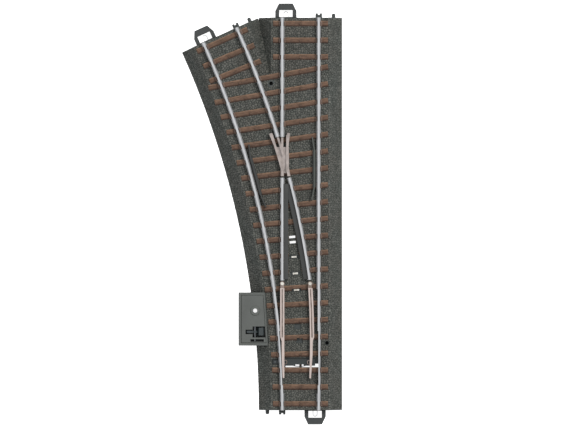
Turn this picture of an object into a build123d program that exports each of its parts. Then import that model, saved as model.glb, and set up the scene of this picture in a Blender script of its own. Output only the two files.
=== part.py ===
"""Model railway turnout, left hand, three-rail stud contact, on a moulded ballast roadbed.

Millimetres. The origin is the track centre at the toe end, on the base plane. +Y runs along
the straight route towards the frog, +X is to the right and +Z is up. Curved pieces are drawn
about the curve centre at (-curve_radius, 0).
"""

from build123d import *
from math import asin, cos, degrees, radians, sin, sqrt, tan
import os

os.makedirs("parts", exist_ok=True)

# ---------------------------------------------------------------- driving dimensions
gauge = 16.5
straight_length = 188.3
curve_radius = 437.5
turnout_angle = 24.28

bed_half_base = 20.0
bed_half_top = 14.0
ballast_top = 7.1
deck_under = 5.7
wall_inset = 1.7
end_wall = 1.4

rail_top = 10.2
rail_base = 7.9
head_width = 1.0
head_depth = 0.75
web_width = 0.5
foot_width = 2.0
foot_depth = 0.45
rail_offset = (gauge + head_width) / 2

sleeper_width = 2.8
sleeper_pitch = 8.08
sleeper_first = 3.0
sleeper_right_end = 13.2
sleeper_overhang = 4.5
sleeper_slant = 0.455
straight_sleepers = 3
shared_sleepers = 21
tail_pitch = 8.0
tail_count = 3

throw = 2.7
throw_bar_y = 23.2
blade_heel_y = 60.75
blade_tip_y = 15.5
blade_base = 8.0
blade_half = 1.0
blade_low_width = 1.3
blade_tip_width = 0.8
blade_gap = 0.12
stock_relief = 0.32
throw_angle = degrees(throw / (blade_heel_y - throw_bar_y))

lever_axis_x = -21.85
lever_axis_z = 6.0
lever_y = 37.6
lever_half_swing = 20.0
lever_leg = throw / 2 / sin(radians(lever_half_swing))

# ---------------------------------------------------------------- shared geometry
curve_axis = Axis((-curve_radius, 0, 0), (0, 0, 1))
straight_stock_x = rail_offset
straight_inner_x = -rail_offset
curved_stock_r = curve_radius - rail_offset
curved_inner_r = curve_radius + rail_offset
right_heel_x = sqrt(curved_inner_r**2 - blade_heel_y**2) - curve_radius
left_heel = (straight_inner_x, blade_heel_y)
right_heel = (right_heel_x, blade_heel_y)
pin_radius = 0.45
pin_hole_radius = pin_radius + 0.01


def arc_x(radius, y):
    """X of a concentric arc at a given Y."""
    return sqrt(radius**2 - y**2) - curve_radius


def arc_angle(radius, y):
    """Angle along the curve, in degrees, where an arc reaches a given Y."""
    return degrees(asin(y / radius))


def cross_plane(angle=0.0, radius=curve_radius):
    """Upright plane across the curved route: local x points outwards, local y points up."""
    across = Vector(cos(radians(angle)), sin(radians(angle)), 0)
    origin = Vector(-curve_radius, 0, 0) + across * radius
    return Plane(origin=origin, x_dir=across, z_dir=(across.Y, -across.X, 0))


def straight_plane(x, y):
    """Upright plane across the straight route at (x, y)."""
    return Plane(origin=(x, y, 0), x_dir=(1, 0, 0), z_dir=(0, -1, 0))


def outline(plane, *points):
    """Closed flat face through the given corners."""
    with BuildSketch(plane) as face:
        with BuildLine():
            Polyline(*points, close=True)
        make_face()
    return face.sketch


def rail_section(plane):
    """Vignole rail section: wide foot, thin web, narrow head."""
    head = head_width / 2
    web = web_width / 2
    foot = foot_width / 2
    under_head = rail_top - head_depth
    foot_top = rail_base + foot_depth
    right = [(foot, rail_base), (foot, foot_top), (web, foot_top), (web, under_head)]
    right += [(head, under_head), (head, rail_top)]
    left = [(-x, z) for x, z in reversed(right)]
    return outline(plane, *right, *left)


def bed_section(plane, inset=0.0, low=0.0, top=ballast_top):
    """Ballast bed section, or its hollow when it is inset and lower."""
    slope = (bed_half_base - bed_half_top) / ballast_top
    base = bed_half_base - inset
    return outline(
        plane,
        (-base + slope * low, low),
        (base - slope * low, low),
        (base - slope * top, top),
        (-base + slope * top, top),
    )


def sleeper_angle(y):
    """Shared sleepers turn by a share of the curve's own turn; the first few stay square."""
    return sleeper_slant * arc_angle(curve_radius, y)


def shared_sleeper(index):
    """Right-end Y and slant in degrees of one sleeper that carries both routes."""
    y = sleeper_first + sleeper_pitch * index
    return y, (0.0 if index < straight_sleepers else sleeper_angle(y))


def sleeper_y_at(index, x):
    """Y of a shared sleeper's centre line at a given X."""
    y, slant = shared_sleeper(index)
    return y - (sleeper_right_end - x) * tan(radians(slant))


def sleeper_y_on_arc(index, radius):
    """Y where a shared sleeper's centre line crosses a concentric arc."""
    y = shared_sleeper(index)[0]
    for _ in range(6):
        y = sleeper_y_at(index, arc_x(radius, y))
    return y


tail_straight_y = [straight_length - sleeper_first - tail_pitch * n for n in range(tail_count)]
tail_arc_step = degrees(tail_pitch / curve_radius)
tail_first = turnout_angle - degrees(sleeper_first / curve_radius)
tail_angles = [tail_first - tail_arc_step * n for n in range(tail_count)]

diverging_end = Vector(-curve_radius, 0, 0) + curve_radius * Vector(
    cos(radians(turnout_angle)), sin(radians(turnout_angle)), 0
)
toe_joint = Plane(origin=(0, 0, 0), x_dir=(-1, 0, 0), z_dir=(0, 0, 1))
straight_joint = Plane(origin=(0, straight_length, 0), x_dir=(1, 0, 0), z_dir=(0, 0, 1))
diverging_joint = Plane(
    origin=diverging_end,
    x_dir=(cos(radians(turnout_angle)), sin(radians(turnout_angle)), 0),
    z_dir=(0, 0, 1),
)
joint_planes = {"toe": toe_joint, "straight": straight_joint, "diverging": diverging_joint}

# ---------------------------------------------------------------- joint hardware sizes
loop_x = -7.0
loop_low = 1.6
loop_high = 4.0
loop_reach = 6.85
loop_half = 5.1
loop_cap_half = 3.35
loop_hole_half = 3.2
loop_hole_near = 0.35
loop_hole_far = 3.65
socket_x = 8.8
socket_width = 3.1
socket_reach = 2.1
peg_x = 15.9
peg_radius = 0.9
peg_reach = 2.0
socket_low = 1.0
socket_height = 3.6
socket_notch_width = 0.9
socket_notch_depth = 0.7
peg_point = 0.4
joint_mid_z = 2.8

# ---------------------------------------------------------------- contact layout
strip_half = 0.6
strip_low = 5.3
strip_room_width = 2 * strip_half + 0.3
diverging_room_y = 86.5
diverging_strip_y = 88.0
stud_radius = 0.55
stud_play = 0.04
stud_top = 8.5
wide_top = 7.7
wide_stud_length = 2.4
wide_stud_width = 0.8
wide_indices = (7, 8, 9)
wide_drop = 0.9
pocket_length = 4.6
pocket_width = 1.4
pocket_floor = 6.5
double_index = 10
double_shift = 1.25
slot_length = 2.9
slot_width = 1.1
separate_from = 12

wide_places = []
for index in wide_indices:
    y = sleeper_y_at(index, -3.0) - wide_drop
    wide_places.append((arc_x(curve_radius, y) / 2, y, shared_sleeper(index)[1]))
slot_places = []
for shift in (-double_shift, double_shift):
    y = sleeper_y_at(double_index, -3.8) - wide_drop / 2 + shift
    slot_places.append((arc_x(curve_radius, y) / 2, y, shared_sleeper(double_index)[1]))

straight_studs = []
for index in range(shared_sleepers):
    if index < wide_indices[0] or index >= separate_from:
        straight_studs.append((0, sleeper_y_at(index, 0)))
straight_studs += [(0, y) for y in tail_straight_y]

diverging_studs = []
for index in range(separate_from, shared_sleepers):
    y = sleeper_y_on_arc(index, curve_radius)
    diverging_studs.append((arc_x(curve_radius, y), y))
for angle in tail_angles:
    turn = radians(angle)
    diverging_studs.append((curve_radius * (cos(turn) - 1), curve_radius * sin(turn)))


def stud_plan(height, extra):
    """Plan of every contact stud on the plane at a given height."""
    with BuildSketch(Plane.XY.offset(height)) as plan:
        with Locations(*straight_studs, *diverging_studs):
            Circle(stud_radius + extra)
        add(slanted_plan(height, wide_places, wide_stud_length + 2 * extra,
                         wide_stud_width + 2 * extra))
    return plan.sketch


def slanted_plan(height, places, length, width):
    """Plan of equal rectangles that lie along the slanted sleepers."""
    with BuildSketch(Plane.XY.offset(height)) as plan:
        for x, y, slant in places:
            with Locations(Location((x, y), slant)):
                Rectangle(length, width)
    return plan.sketch


# ---------------------------------------------------------------- lever housing layout
housing_left = -29.7
housing_low_y = 31.0
housing_high_y = 56.5
housing_top = 7.6
housing_wall = 1.2
housing_right_low = -15.5
housing_right_high = -17.0
cover_ledge_z = 6.4
bottom_cover_low = 0.3
bottom_cover_high = 1.3
lantern_x = -21.75
lantern_y = 47.76
lantern_radius = 1.0
cover_screw_places = [(-26.9, 53.8), (-19.4, 53.8)]


def housing_plan(height, inset=0.0, right_inset=0.0):
    """Plan of the lever housing, drawn in by an inset."""
    with BuildSketch(Plane.XY.offset(height)) as plan:
        with BuildLine():
            Polyline(
                (housing_left + inset, housing_low_y + inset),
                (housing_right_low - right_inset, housing_low_y + inset),
                (housing_right_high - right_inset, housing_high_y - inset),
                (housing_left + inset, housing_high_y - inset),
                close=True,
            )
        make_face()
    return plan.sketch


# ---------------------------------------------------------------- screws and fixing holes
fixing_holes = [(-14.1, 156.7), (12.7, 32.3)]
fixing_radius = 0.9
fixing_boss = 1.9
fixing_ring = 0.2
fixing_ring_hole = fixing_boss + 0.05
fixing_floor = 0.6
retainer_centre = (1.0, 22.85)
retainer_screw_spacing = (15.0, 8.3)
screw_radius = 0.6
rib_positions = (11.0, 46.0, 74.0, 102.0, 130.0, 148.0, 164.0)
rib_thickness = 1.2
rib_low = 1.5
jumper_y = 7.0
jumper_far_y = 181.0
jumper_angle = turnout_angle - 0.95
jumper_low = 4.9
jumper_high = 5.15
jumper_tab = 0.45
jumper_width = 1.6
tab_hole_radius = jumper_tab + 0.05

# ---------------------------------------------------------------- throw bar slot
slot_low_y = 20.65
slot_high_y = 25.0
slot_half_main = 9.9
slot_outer_left = -13.5
slot_outer_width = 2.4

# ---------------------------------------------------------------- recesses in the bed
recess_places = [(-1.35, 40.3), (-0.4, 33.5)]
recess_length = 2.8
recess_width = 2.4
recess_floor = 6.5

# ================================================================ roadbed
with BuildPart() as bed_envelope:
    extrude(bed_section(straight_plane(0, 0)), amount=-straight_length)
    revolve(bed_section(cross_plane()), axis=curve_axis, revolution_arc=turnout_angle)

with BuildPart() as bed_hollow:
    hollow_start = degrees(end_wall / curve_radius)
    extrude(
        bed_section(straight_plane(0, end_wall), wall_inset, -0.5, deck_under),
        amount=-(straight_length - 2 * end_wall),
    )
    revolve(
        bed_section(cross_plane(hollow_start), wall_inset, -0.5, deck_under),
        axis=curve_axis,
        revolution_arc=turnout_angle - 2 * hollow_start,
    )

with BuildPart() as ribs:
    for rib_y in rib_positions:
        with BuildSketch(Plane.XZ.offset(-rib_y)):
            with Locations((-20, (rib_low + deck_under) / 2)):
                Rectangle(100, deck_under - rib_low)
        extrude(amount=rib_thickness)
    with Locations(*[(x, y, 0) for x, y in fixing_holes]):
        Cylinder(fixing_boss, deck_under, align=(Align.CENTER, Align.CENTER, Align.MIN))
    add(bed_envelope.part, mode=Mode.INTERSECT)

with BuildPart() as strip_room:
    with BuildSketch(Plane.XY.offset(strip_low - 0.1)):
        with Locations((0, straight_length / 2)):
            Rectangle(strip_room_width, straight_length - 2 * end_wall - 0.4)
        with BuildLine():
            Polyline((-1.2, 56.5), (-3.0, 84.8), (-6.0, 84.8), (-3.4, 56.5), close=True)
        make_face()
    extrude(amount=deck_under - strip_low + 0.1)
    room_start = arc_angle(curve_radius, diverging_room_y)
    with BuildSketch(cross_plane(room_start)):
        with Locations((0, (strip_low - 0.1 + deck_under) / 2)):
            Rectangle(strip_room_width, deck_under - strip_low + 0.1)
    revolve(axis=curve_axis, revolution_arc=turnout_angle - room_start - 0.25)

with BuildPart() as roadbed:
    add(bed_envelope.part)
    add(bed_hollow.part, mode=Mode.SUBTRACT)
    add(ribs.part)
    add(strip_room.part, mode=Mode.SUBTRACT)
    extrude(housing_plan(-1), amount=ballast_top + 2, mode=Mode.SUBTRACT)
    with BuildSketch(Plane.XY.offset(deck_under - 0.2)):
        slot_mid_y = (slot_low_y + slot_high_y) / 2
        with Locations((0, slot_mid_y)):
            Rectangle(2 * slot_half_main, slot_high_y - slot_low_y)
        with Locations((slot_outer_left / 2, throw_bar_y)):
            Rectangle(-slot_outer_left, slot_outer_width)
    extrude(amount=ballast_top - deck_under + 0.4, mode=Mode.SUBTRACT)
    extrude(stud_plan(deck_under - 0.1, stud_play), amount=1.6, mode=Mode.SUBTRACT)
    extrude(slanted_plan(pocket_floor, wide_places, pocket_length, pocket_width), amount=1,
            mode=Mode.SUBTRACT)
    extrude(slanted_plan(deck_under - 1, slot_places, slot_length, slot_width), amount=3,
            mode=Mode.SUBTRACT)
    with BuildSketch(Plane.XY.offset(recess_floor)):
        with Locations(*recess_places):
            Rectangle(recess_length, recess_width)
    extrude(amount=1, mode=Mode.SUBTRACT)
    with BuildSketch(Plane.XY):
        with Locations(fixing_holes[0]):
            Circle(fixing_boss)
    extrude(amount=ballast_top + fixing_ring)
    with BuildSketch(Plane.XY.offset(fixing_floor)):
        with Locations(*fixing_holes):
            Circle(fixing_radius)
    extrude(amount=ballast_top + 1, mode=Mode.SUBTRACT)
    with BuildSketch(Plane.XY.offset(deck_under - 0.1)):
        with Locations(left_heel, right_heel):
            Circle(pin_hole_radius)
        with Locations((straight_stock_x, jumper_y), (arc_x(curved_stock_r, jumper_y), jumper_y)):
            Circle(tab_hole_radius)
        with Locations((straight_stock_x, jumper_far_y), (straight_inner_x, jumper_far_y)):
            Circle(tab_hole_radius)
        for radius in (curved_stock_r, curved_inner_r):
            turn = radians(jumper_angle)
            with Locations((radius * cos(turn) - curve_radius, radius * sin(turn))):
                Circle(tab_hole_radius)
    extrude(amount=ballast_top - deck_under + 0.2, mode=Mode.SUBTRACT)
    with BuildSketch(Plane.XY.offset(deck_under - 0.1)):
        with Locations(retainer_centre):
            with GridLocations(*retainer_screw_spacing, 2, 2):
                Circle(screw_radius)
    extrude(amount=1.1, mode=Mode.SUBTRACT)
    for joint_plane in joint_planes.values():
        with BuildSketch(joint_plane.offset(socket_low)):
            with Locations((socket_x, socket_reach / 2)):
                Rectangle(socket_width, socket_reach)
            with Locations((socket_x, socket_reach - socket_notch_depth / 2)):
                Rectangle(socket_notch_width, socket_notch_depth, mode=Mode.SUBTRACT)
        extrude(amount=socket_height)
        peg_root = joint_plane.from_local_coords((peg_x, -0.5, joint_mid_z))
        peg_plane = Plane(origin=peg_root, x_dir=joint_plane.x_dir, z_dir=joint_plane.y_dir)
        with BuildSketch(peg_plane):
            Circle(peg_radius)
        extrude(amount=peg_reach + 0.1)
        with BuildSketch(peg_plane.offset(peg_reach + 0.1)):
            Circle(peg_radius)
        extrude(amount=peg_point, taper=45)
roadbed.part.label = "roadbed"
export_step(roadbed.part, "parts/roadbed.step")

# ================================================================ sleepers and chairs
shared_rows = range(shared_sleepers)
cut_indices = (8, 9, 10)
cut_side = 2.9


def sleeper_plan(height):
    """Plan of every sleeper on the plane at a given height."""
    with BuildSketch(Plane.XY.offset(height)) as plan:
        for index in shared_rows:
            y, slant = shared_sleeper(index)
            left_y = sleeper_y_at(index, -14.0)
            left = arc_x(curved_stock_r, left_y) - sleeper_overhang
            left_y = sleeper_y_at(index, left)
            length = sqrt((sleeper_right_end - left) ** 2 + (y - left_y) ** 2)
            middle = ((sleeper_right_end + left) / 2, (y + left_y) / 2)
            with Locations(Location(middle, slant)):
                Rectangle(length, sleeper_width)
        for y in tail_straight_y:
            with Locations((0, y)):
                Rectangle(2 * sleeper_right_end, sleeper_width)
        for angle in tail_angles:
            turn = radians(angle)
            middle = (curve_radius * (cos(turn) - 1), curve_radius * sin(turn))
            with Locations(Location(middle, angle)):
                Rectangle(2 * sleeper_right_end, sleeper_width)
    return plan.sketch


def between_rails(height):
    """Plan of the smooth area between the closure rails, where sleepers are left out."""
    low_y = sleeper_y_at(cut_indices[0], 0) - sleeper_pitch / 2
    high_y = sleeper_y_at(cut_indices[-1], 0) + sleeper_pitch / 2
    return outline(
        Plane.XY.offset(height),
        (straight_inner_x + cut_side, low_y),
        (arc_x(curved_inner_r, low_y) - cut_side, low_y),
        (arc_x(curved_inner_r, high_y) - cut_side, high_y),
        (straight_inner_x + cut_side, high_y),
    )


with BuildPart() as sleepers:
    extrude(sleeper_plan(ballast_top), amount=rail_base - ballast_top)
    extrude(between_rails(ballast_top - 0.1), amount=2, mode=Mode.SUBTRACT)
    extrude(slanted_plan(ballast_top - 0.1, wide_places, pocket_length, pocket_width), amount=2,
            mode=Mode.SUBTRACT)
    with BuildSketch(Plane.XY.offset(ballast_top - 0.1)):
        with Locations(*recess_places):
            Rectangle(recess_length, recess_width)
    extrude(amount=2, mode=Mode.SUBTRACT)
    extrude(stud_plan(ballast_top - 0.1, stud_play), amount=1.0, mode=Mode.SUBTRACT)
    with BuildSketch(Plane.XY.offset(ballast_top - 0.1)):
        with Locations(left_heel, right_heel):
            Circle(pin_hole_radius)
        with Locations(*fixing_holes):
            Circle(fixing_radius)
        with Locations(fixing_holes[0]):
            Circle(fixing_ring_hole)
    extrude(amount=1.0, mode=Mode.SUBTRACT)
sleepers.part.label = "sleepers"
export_step(sleepers.part, "parts/sleepers.step")

chair_inner = 1.05
chair_outer = 1.65
chair_lip = 0.62
chair_length = 2.2
chair_top = 8.75
lip_low = rail_base + foot_depth + 0.03
frog_end_y = 130.8
frog_start_y = 112.2


def has_inner_chair(index):
    """The blades sweep the first sleepers and the check rails stand where chairs would be."""
    return index < 1 or 7 < index < 12 or index > 16


def chair_spots():
    """(x, y, turn in degrees, side) of every chair, side +1 outwards of the curve."""
    spots = []
    for index in shared_rows:
        y = sleeper_y_at(index, straight_stock_x)
        spots.append((straight_stock_x, y, 0, 1))
        if has_inner_chair(index):
            spots.append((straight_stock_x, y, 0, -1))
        y = sleeper_y_on_arc(index, curved_stock_r)
        turn = arc_angle(curved_stock_r, y)
        spots.append((arc_x(curved_stock_r, y), y, turn, -1))
        if has_inner_chair(index):
            spots.append((arc_x(curved_stock_r, y), y, turn, 1))
        y = sleeper_y_at(index, straight_inner_x)
        if 64 < y < frog_start_y - 2:
            spots.append((straight_inner_x, y, 0, -1))
        if y > frog_end_y + 5:
            spots.append((straight_inner_x, y, 0, 1))
        if y > frog_end_y + 12:
            spots.append((straight_inner_x, y, 0, -1))
        y = sleeper_y_on_arc(index, curved_inner_r)
        turn = arc_angle(curved_inner_r, y)
        if 64 < y < frog_start_y - 2:
            spots.append((arc_x(curved_inner_r, y), y, turn, 1))
        if y > frog_end_y + 5:
            spots.append((arc_x(curved_inner_r, y), y, turn, -1))
        if y > frog_end_y + 12:
            spots.append((arc_x(curved_inner_r, y), y, turn, 1))
    for y in tail_straight_y:
        for x in (straight_inner_x, straight_stock_x):
            spots += [(x, y, 0, 1), (x, y, 0, -1)]
    for angle in tail_angles:
        turn = radians(angle)
        for radius in (curved_stock_r, curved_inner_r):
            x = radius * cos(turn) - curve_radius
            y = radius * sin(turn)
            spots += [(x, y, angle, 1), (x, y, angle, -1)]
    return spots


def chair_plan(height, inner, outer):
    """Plan of a block beside every chair spot, between two offsets from the rail centre."""
    with BuildSketch(Plane.XY.offset(height)) as plan:
        for x, y, angle, side in chair_spots():
            shift = side * (inner + outer) / 2
            turn = radians(angle)
            place = (x + shift * cos(turn), y + shift * sin(turn))
            with Locations(Location(place, angle)):
                Rectangle(outer - inner, chair_length)
    return plan.sketch


with BuildPart() as rail_chairs:
    extrude(chair_plan(rail_base, chair_inner, chair_outer), amount=chair_top - rail_base)
    extrude(chair_plan(lip_low, chair_lip, chair_inner), amount=chair_top - lip_low)
rail_chairs.part.label = "rail_chairs"
export_step(rail_chairs.part, "parts/rail_chairs.step")

# ================================================================ stock rails
relief_low_y = 12.0
relief_high_y = 38.0
foot_cut_low_y = 8.0
foot_cut_high_y = 58.0
relieved_side = head_width / 2 - stock_relief


def side_cut(plane_at, inner, outer, low, high):
    """Flat face beside a rail on a cross plane, used to cut its gauge side away."""
    return outline(plane_at, (inner, low), (outer, low), (outer, high), (inner, high))


with BuildPart() as stock_rail_straight:
    extrude(rail_section(straight_plane(straight_stock_x, 0)), amount=-straight_length)
    extrude(
        side_cut(straight_plane(straight_stock_x, relief_low_y), -2, -relieved_side, 7, 11),
        amount=-(relief_high_y - relief_low_y),
        mode=Mode.SUBTRACT,
    )
    extrude(
        side_cut(straight_plane(straight_stock_x, foot_cut_low_y), -2, -web_width / 2, 7, 8.5),
        amount=-(foot_cut_high_y - foot_cut_low_y),
        mode=Mode.SUBTRACT,
    )
stock_rail_straight.part.label = "stock_rail_straight"
export_step(stock_rail_straight.part, "parts/stock_rail_straight.step")


def arc_cut(radius, inner, high, low_y, high_y):
    """Ring segment beside a curved rail, from an offset inner outwards."""
    start = arc_angle(radius, low_y)
    with BuildPart() as ring:
        revolve(
            side_cut(cross_plane(start, radius), inner, 2, 7, high),
            axis=curve_axis,
            revolution_arc=arc_angle(radius, high_y) - start,
        )
    return ring.part


with BuildPart() as stock_rail_curved:
    revolve(
        rail_section(cross_plane(0, curved_stock_r)),
        axis=curve_axis,
        revolution_arc=turnout_angle,
    )
    add(
        arc_cut(curved_stock_r, relieved_side, 11, relief_low_y, relief_high_y),
        mode=Mode.SUBTRACT,
    )
    add(
        arc_cut(curved_stock_r, web_width / 2, 8.5, foot_cut_low_y, foot_cut_high_y),
        mode=Mode.SUBTRACT,
    )
stock_rail_curved.part.label = "stock_rail_curved"
export_step(stock_rail_curved.part, "parts/stock_rail_curved.step")

# ================================================================ closure and exit rails
closure_low_y = blade_heel_y + 1.5
closure_high_y = 111.5

with BuildPart() as closure_rail_straight:
    extrude(
        rail_section(straight_plane(straight_inner_x, closure_low_y)),
        amount=-(closure_high_y - closure_low_y),
    )
closure_rail_straight.part.label = "closure_rail_straight"
export_step(closure_rail_straight.part, "parts/closure_rail_straight.step")

closure_start = arc_angle(curved_inner_r, closure_low_y + 0.3)
with BuildPart() as closure_rail_curved:
    revolve(
        rail_section(cross_plane(closure_start, curved_inner_r)),
        axis=curve_axis,
        revolution_arc=arc_angle(curved_inner_r, closure_high_y) - closure_start,
    )
closure_rail_curved.part.label = "closure_rail_curved"
export_step(closure_rail_curved.part, "parts/closure_rail_curved.step")

exit_low_y = frog_end_y + 0.25
with BuildPart() as exit_rail_straight:
    extrude(
        rail_section(straight_plane(straight_inner_x, exit_low_y)),
        amount=-(straight_length - exit_low_y),
    )
exit_rail_straight.part.label = "exit_rail_straight"
export_step(exit_rail_straight.part, "parts/exit_rail_straight.step")

exit_start = arc_angle(curved_inner_r, exit_low_y)
with BuildPart() as exit_rail_diverging:
    revolve(
        rail_section(cross_plane(exit_start, curved_inner_r)),
        axis=curve_axis,
        revolution_arc=turnout_angle - exit_start,
    )
exit_rail_diverging.part.label = "exit_rail_diverging"
export_step(exit_rail_diverging.part, "parts/exit_rail_diverging.step")

# ================================================================ frog
half_head = head_width / 2
flangeway = 1.4
frog_floor_end = 126.2
frog_base_top = rail_base + 1.0
gauge_x = straight_inner_x + half_head
gauge_r = curved_inner_r - half_head
throat_y = sqrt(gauge_r**2 - (gauge_x + flangeway + curve_radius) ** 2)
wing_end_y = 132.0
wing_tip_y = 133.0
wing_flare = 0.9
wing_flare_run = 6.5
wing_extra = 0.5


def ring_strip(plane, inner_r, outer_r, low_y, high_y):
    """Plan of a concentric strip between two Y limits."""
    with BuildSketch(plane) as strip:
        middle_y = (low_y + high_y) / 2
        with Locations((-20, middle_y)):
            Rectangle(80, high_y - low_y)
        with Locations((-curve_radius, 0)):
            Circle(outer_r, mode=Mode.INTERSECT)
            Circle(inner_r, mode=Mode.SUBTRACT)
    return strip.sketch


def frog_heads(plane):
    """Plan of the running heads: closing rails, wings and the point with its two rails."""
    wing_r = gauge_r - flangeway
    wing_x = gauge_x + flangeway
    with BuildSketch(plane) as heads:
        add(outline(
            plane,
            (gauge_x - head_width, frog_start_y),
            (gauge_x, frog_start_y),
            (gauge_x, throat_y + 0.4),
            (gauge_x - head_width, throat_y + 3.0),
        ))
        add(ring_strip(plane, gauge_r, gauge_r + head_width, frog_start_y, throat_y + 1.2))
        add(ring_strip(plane, wing_r - head_width, wing_r, throat_y, wing_end_y))
        with Locations((wing_x + half_head, (throat_y + wing_end_y) / 2)):
            Rectangle(head_width, wing_end_y - throat_y)
        flare_low_y = wing_end_y - wing_flare_run
        left_low_x = arc_x(wing_r, flare_low_y)
        left_tip_x = arc_x(wing_r, wing_end_y)
        add(outline(
            plane,
            (left_low_x, flare_low_y),
            (left_tip_x, wing_end_y),
            (left_tip_x - wing_flare / 2, wing_tip_y),
            (left_tip_x - wing_flare - head_width, wing_tip_y - 0.5),
            (left_low_x - head_width, flare_low_y),
        ))
        add(outline(
            plane,
            (wing_x, flare_low_y),
            (wing_x + wing_extra, wing_tip_y),
            (wing_x + wing_extra + head_width + 0.3, wing_tip_y - 0.2),
            (wing_x + head_width, flare_low_y),
        ))
        nose_y = sqrt(gauge_r**2 - (gauge_x - 0.45 + curve_radius) ** 2)
        with BuildSketch(plane, mode=Mode.PRIVATE) as point:
            with Locations((gauge_x - 2.5, (nose_y + frog_end_y) / 2)):
                Rectangle(5.0, frog_end_y - nose_y)
            with Locations((-curve_radius, 0)):
                Circle(gauge_r, mode=Mode.SUBTRACT)
            apart_y = sqrt((gauge_r + head_width) ** 2 - (gauge_x - head_width + curve_radius) ** 2)
            with BuildSketch(plane, mode=Mode.PRIVATE) as gap:
                with Locations((gauge_x - head_width - 2.0, (apart_y + frog_end_y) / 2 + 0.6)):
                    Rectangle(4.0, frog_end_y - apart_y)
                with Locations((-curve_radius, 0)):
                    Circle(gauge_r + head_width, mode=Mode.SUBTRACT)
            add(gap.sketch, mode=Mode.SUBTRACT)
        add(point.sketch)
    return heads.sketch


with BuildPart() as frog_casting:
    floor_left_low = gauge_x - head_width - 0.3
    floor_left_high = arc_x(gauge_r - flangeway - head_width, frog_floor_end) - 0.2
    floor_right_low = arc_x(gauge_r + head_width, frog_start_y) + 0.3
    floor_right_high = gauge_x + flangeway + head_width + 0.3
    extrude(
        outline(
            Plane.XY.offset(rail_base),
            (floor_left_low, frog_start_y),
            (gauge_x + 0.3, frog_start_y),
            (gauge_x + 0.3, frog_start_y + 1.5),
            (arc_x(gauge_r, frog_start_y) - 0.3, frog_start_y + 1.5),
            (arc_x(gauge_r, frog_start_y) - 0.3, frog_start_y),
            (floor_right_low, frog_start_y),
            (floor_right_high, throat_y + 1.0),
            (floor_right_high, frog_floor_end),
            (floor_left_high, frog_floor_end),
            (floor_left_low, throat_y + 2.0),
        ),
        amount=frog_base_top - rail_base,
    )
    extrude(frog_heads(Plane.XY.offset(rail_base + 0.4)), amount=rail_top - rail_base - 0.4)
frog_casting.part.label = "frog_casting"
export_step(frog_casting.part, "parts/frog_casting.step")

# ================================================================ check rails
check_offset = 2.15
check_width = 0.6
check_low_y = 101.0
check_high_y = 131.0
check_flare = 1.2
check_flare_length = 6.0
check_top = 10.0
check_foot = 0.5


def check_line(side_points):
    """Thin upright strip with a small foot, along a plan line."""
    with BuildPart() as strip:
        with BuildSketch(Plane.XY.offset(rail_base)):
            with BuildLine():
                Polyline(*side_points)
            trace(line_width=check_width)
        extrude(amount=check_top - rail_base)
        with BuildSketch(Plane.XY.offset(rail_base)):
            with BuildLine():
                Polyline(*side_points[1:-1])
            trace(line_width=check_width + 2 * check_foot)
        extrude(amount=0.4)
    return strip.part


straight_check_x = straight_stock_x - check_offset
curved_check_r = curved_stock_r + check_offset
left_shift = -3.6


def on_check_arc(y, flare=0.0):
    """Plan point of the curved check rail at a given Y, moved away from the stock rail."""
    return (arc_x(curved_check_r + flare, y), y)


with BuildPart() as check_rail_right:
    add(check_line([
        (straight_check_x - check_flare, check_low_y),
        (straight_check_x, check_low_y + check_flare_length),
        (straight_check_x, check_high_y - check_flare_length),
        (straight_check_x - check_flare * 0.8, check_high_y),
    ]))
check_rail_right.part.label = "check_rail_right"
export_step(check_rail_right.part, "parts/check_rail_right.step")

with BuildPart() as check_rail_left:
    low = check_low_y + left_shift
    high = check_high_y + left_shift
    run = (high - low - 2 * check_flare_length) / 4
    middles = [on_check_arc(low + check_flare_length + run * n) for n in range(5)]
    add(check_line(
        [on_check_arc(low, check_flare), *middles, on_check_arc(high, check_flare * 0.9)]
    ))
check_rail_left.part.label = "check_rail_left"
export_step(check_rail_left.part, "parts/check_rail_left.step")

# ================================================================ guide strips
guide_top = 9.0
guide_web_side = 0.52
guide_foot_side = 1.05
guide_far_side = 2.85
guide_low_y = closure_low_y + 0.6
guide_high_y = 108.5
guide_gap = 0.05
guide_shelf = rail_base + foot_depth + 0.05


def guide_section(plane, side):
    """Guide strip section: a bar beside the foot with a lip above it, on one side."""
    return outline(
        plane,
        (side * guide_foot_side, rail_base),
        (side * guide_far_side, rail_base),
        (side * guide_far_side, guide_top),
        (side * guide_web_side, guide_top),
        (side * guide_web_side, guide_shelf),
        (side * guide_foot_side, guide_shelf),
    )


with BuildPart() as guide_strip_straight:
    extrude(
        guide_section(straight_plane(straight_inner_x, guide_low_y), 1),
        amount=-(guide_high_y - guide_low_y),
    )
guide_strip_straight.part.label = "guide_strip_straight"
export_step(guide_strip_straight.part, "parts/guide_strip_straight.step")

guide_start = arc_angle(curved_inner_r, guide_low_y + 0.3)
guide_end = arc_angle(curved_inner_r, guide_high_y)
with BuildPart() as guide_strip_curved:
    revolve(
        guide_section(cross_plane(guide_start, curved_inner_r), -1),
        axis=curve_axis,
        revolution_arc=guide_end - guide_start,
    )
    with BuildSketch(Plane.XY.offset(rail_base)):
        with Locations((straight_inner_x + guide_far_side + guide_gap, guide_high_y)):
            Rectangle(guide_high_y, guide_high_y, align=(Align.MAX, Align.CENTER))
    extrude(amount=guide_top - rail_base, mode=Mode.SUBTRACT)
guide_strip_curved.part.label = "guide_strip_curved"
export_step(guide_strip_curved.part, "parts/guide_strip_curved.step")

# ================================================================ contact strips
strip_thick = deck_under - strip_low


def add_studs(places):
    """Round studs standing on a contact strip, built in one go."""
    with BuildPart() as studs:
        with BuildSketch(Plane.XY.offset(deck_under)):
            with Locations(*places):
                Circle(stud_radius)
        extrude(amount=stud_top - deck_under)
    return studs.part


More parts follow.
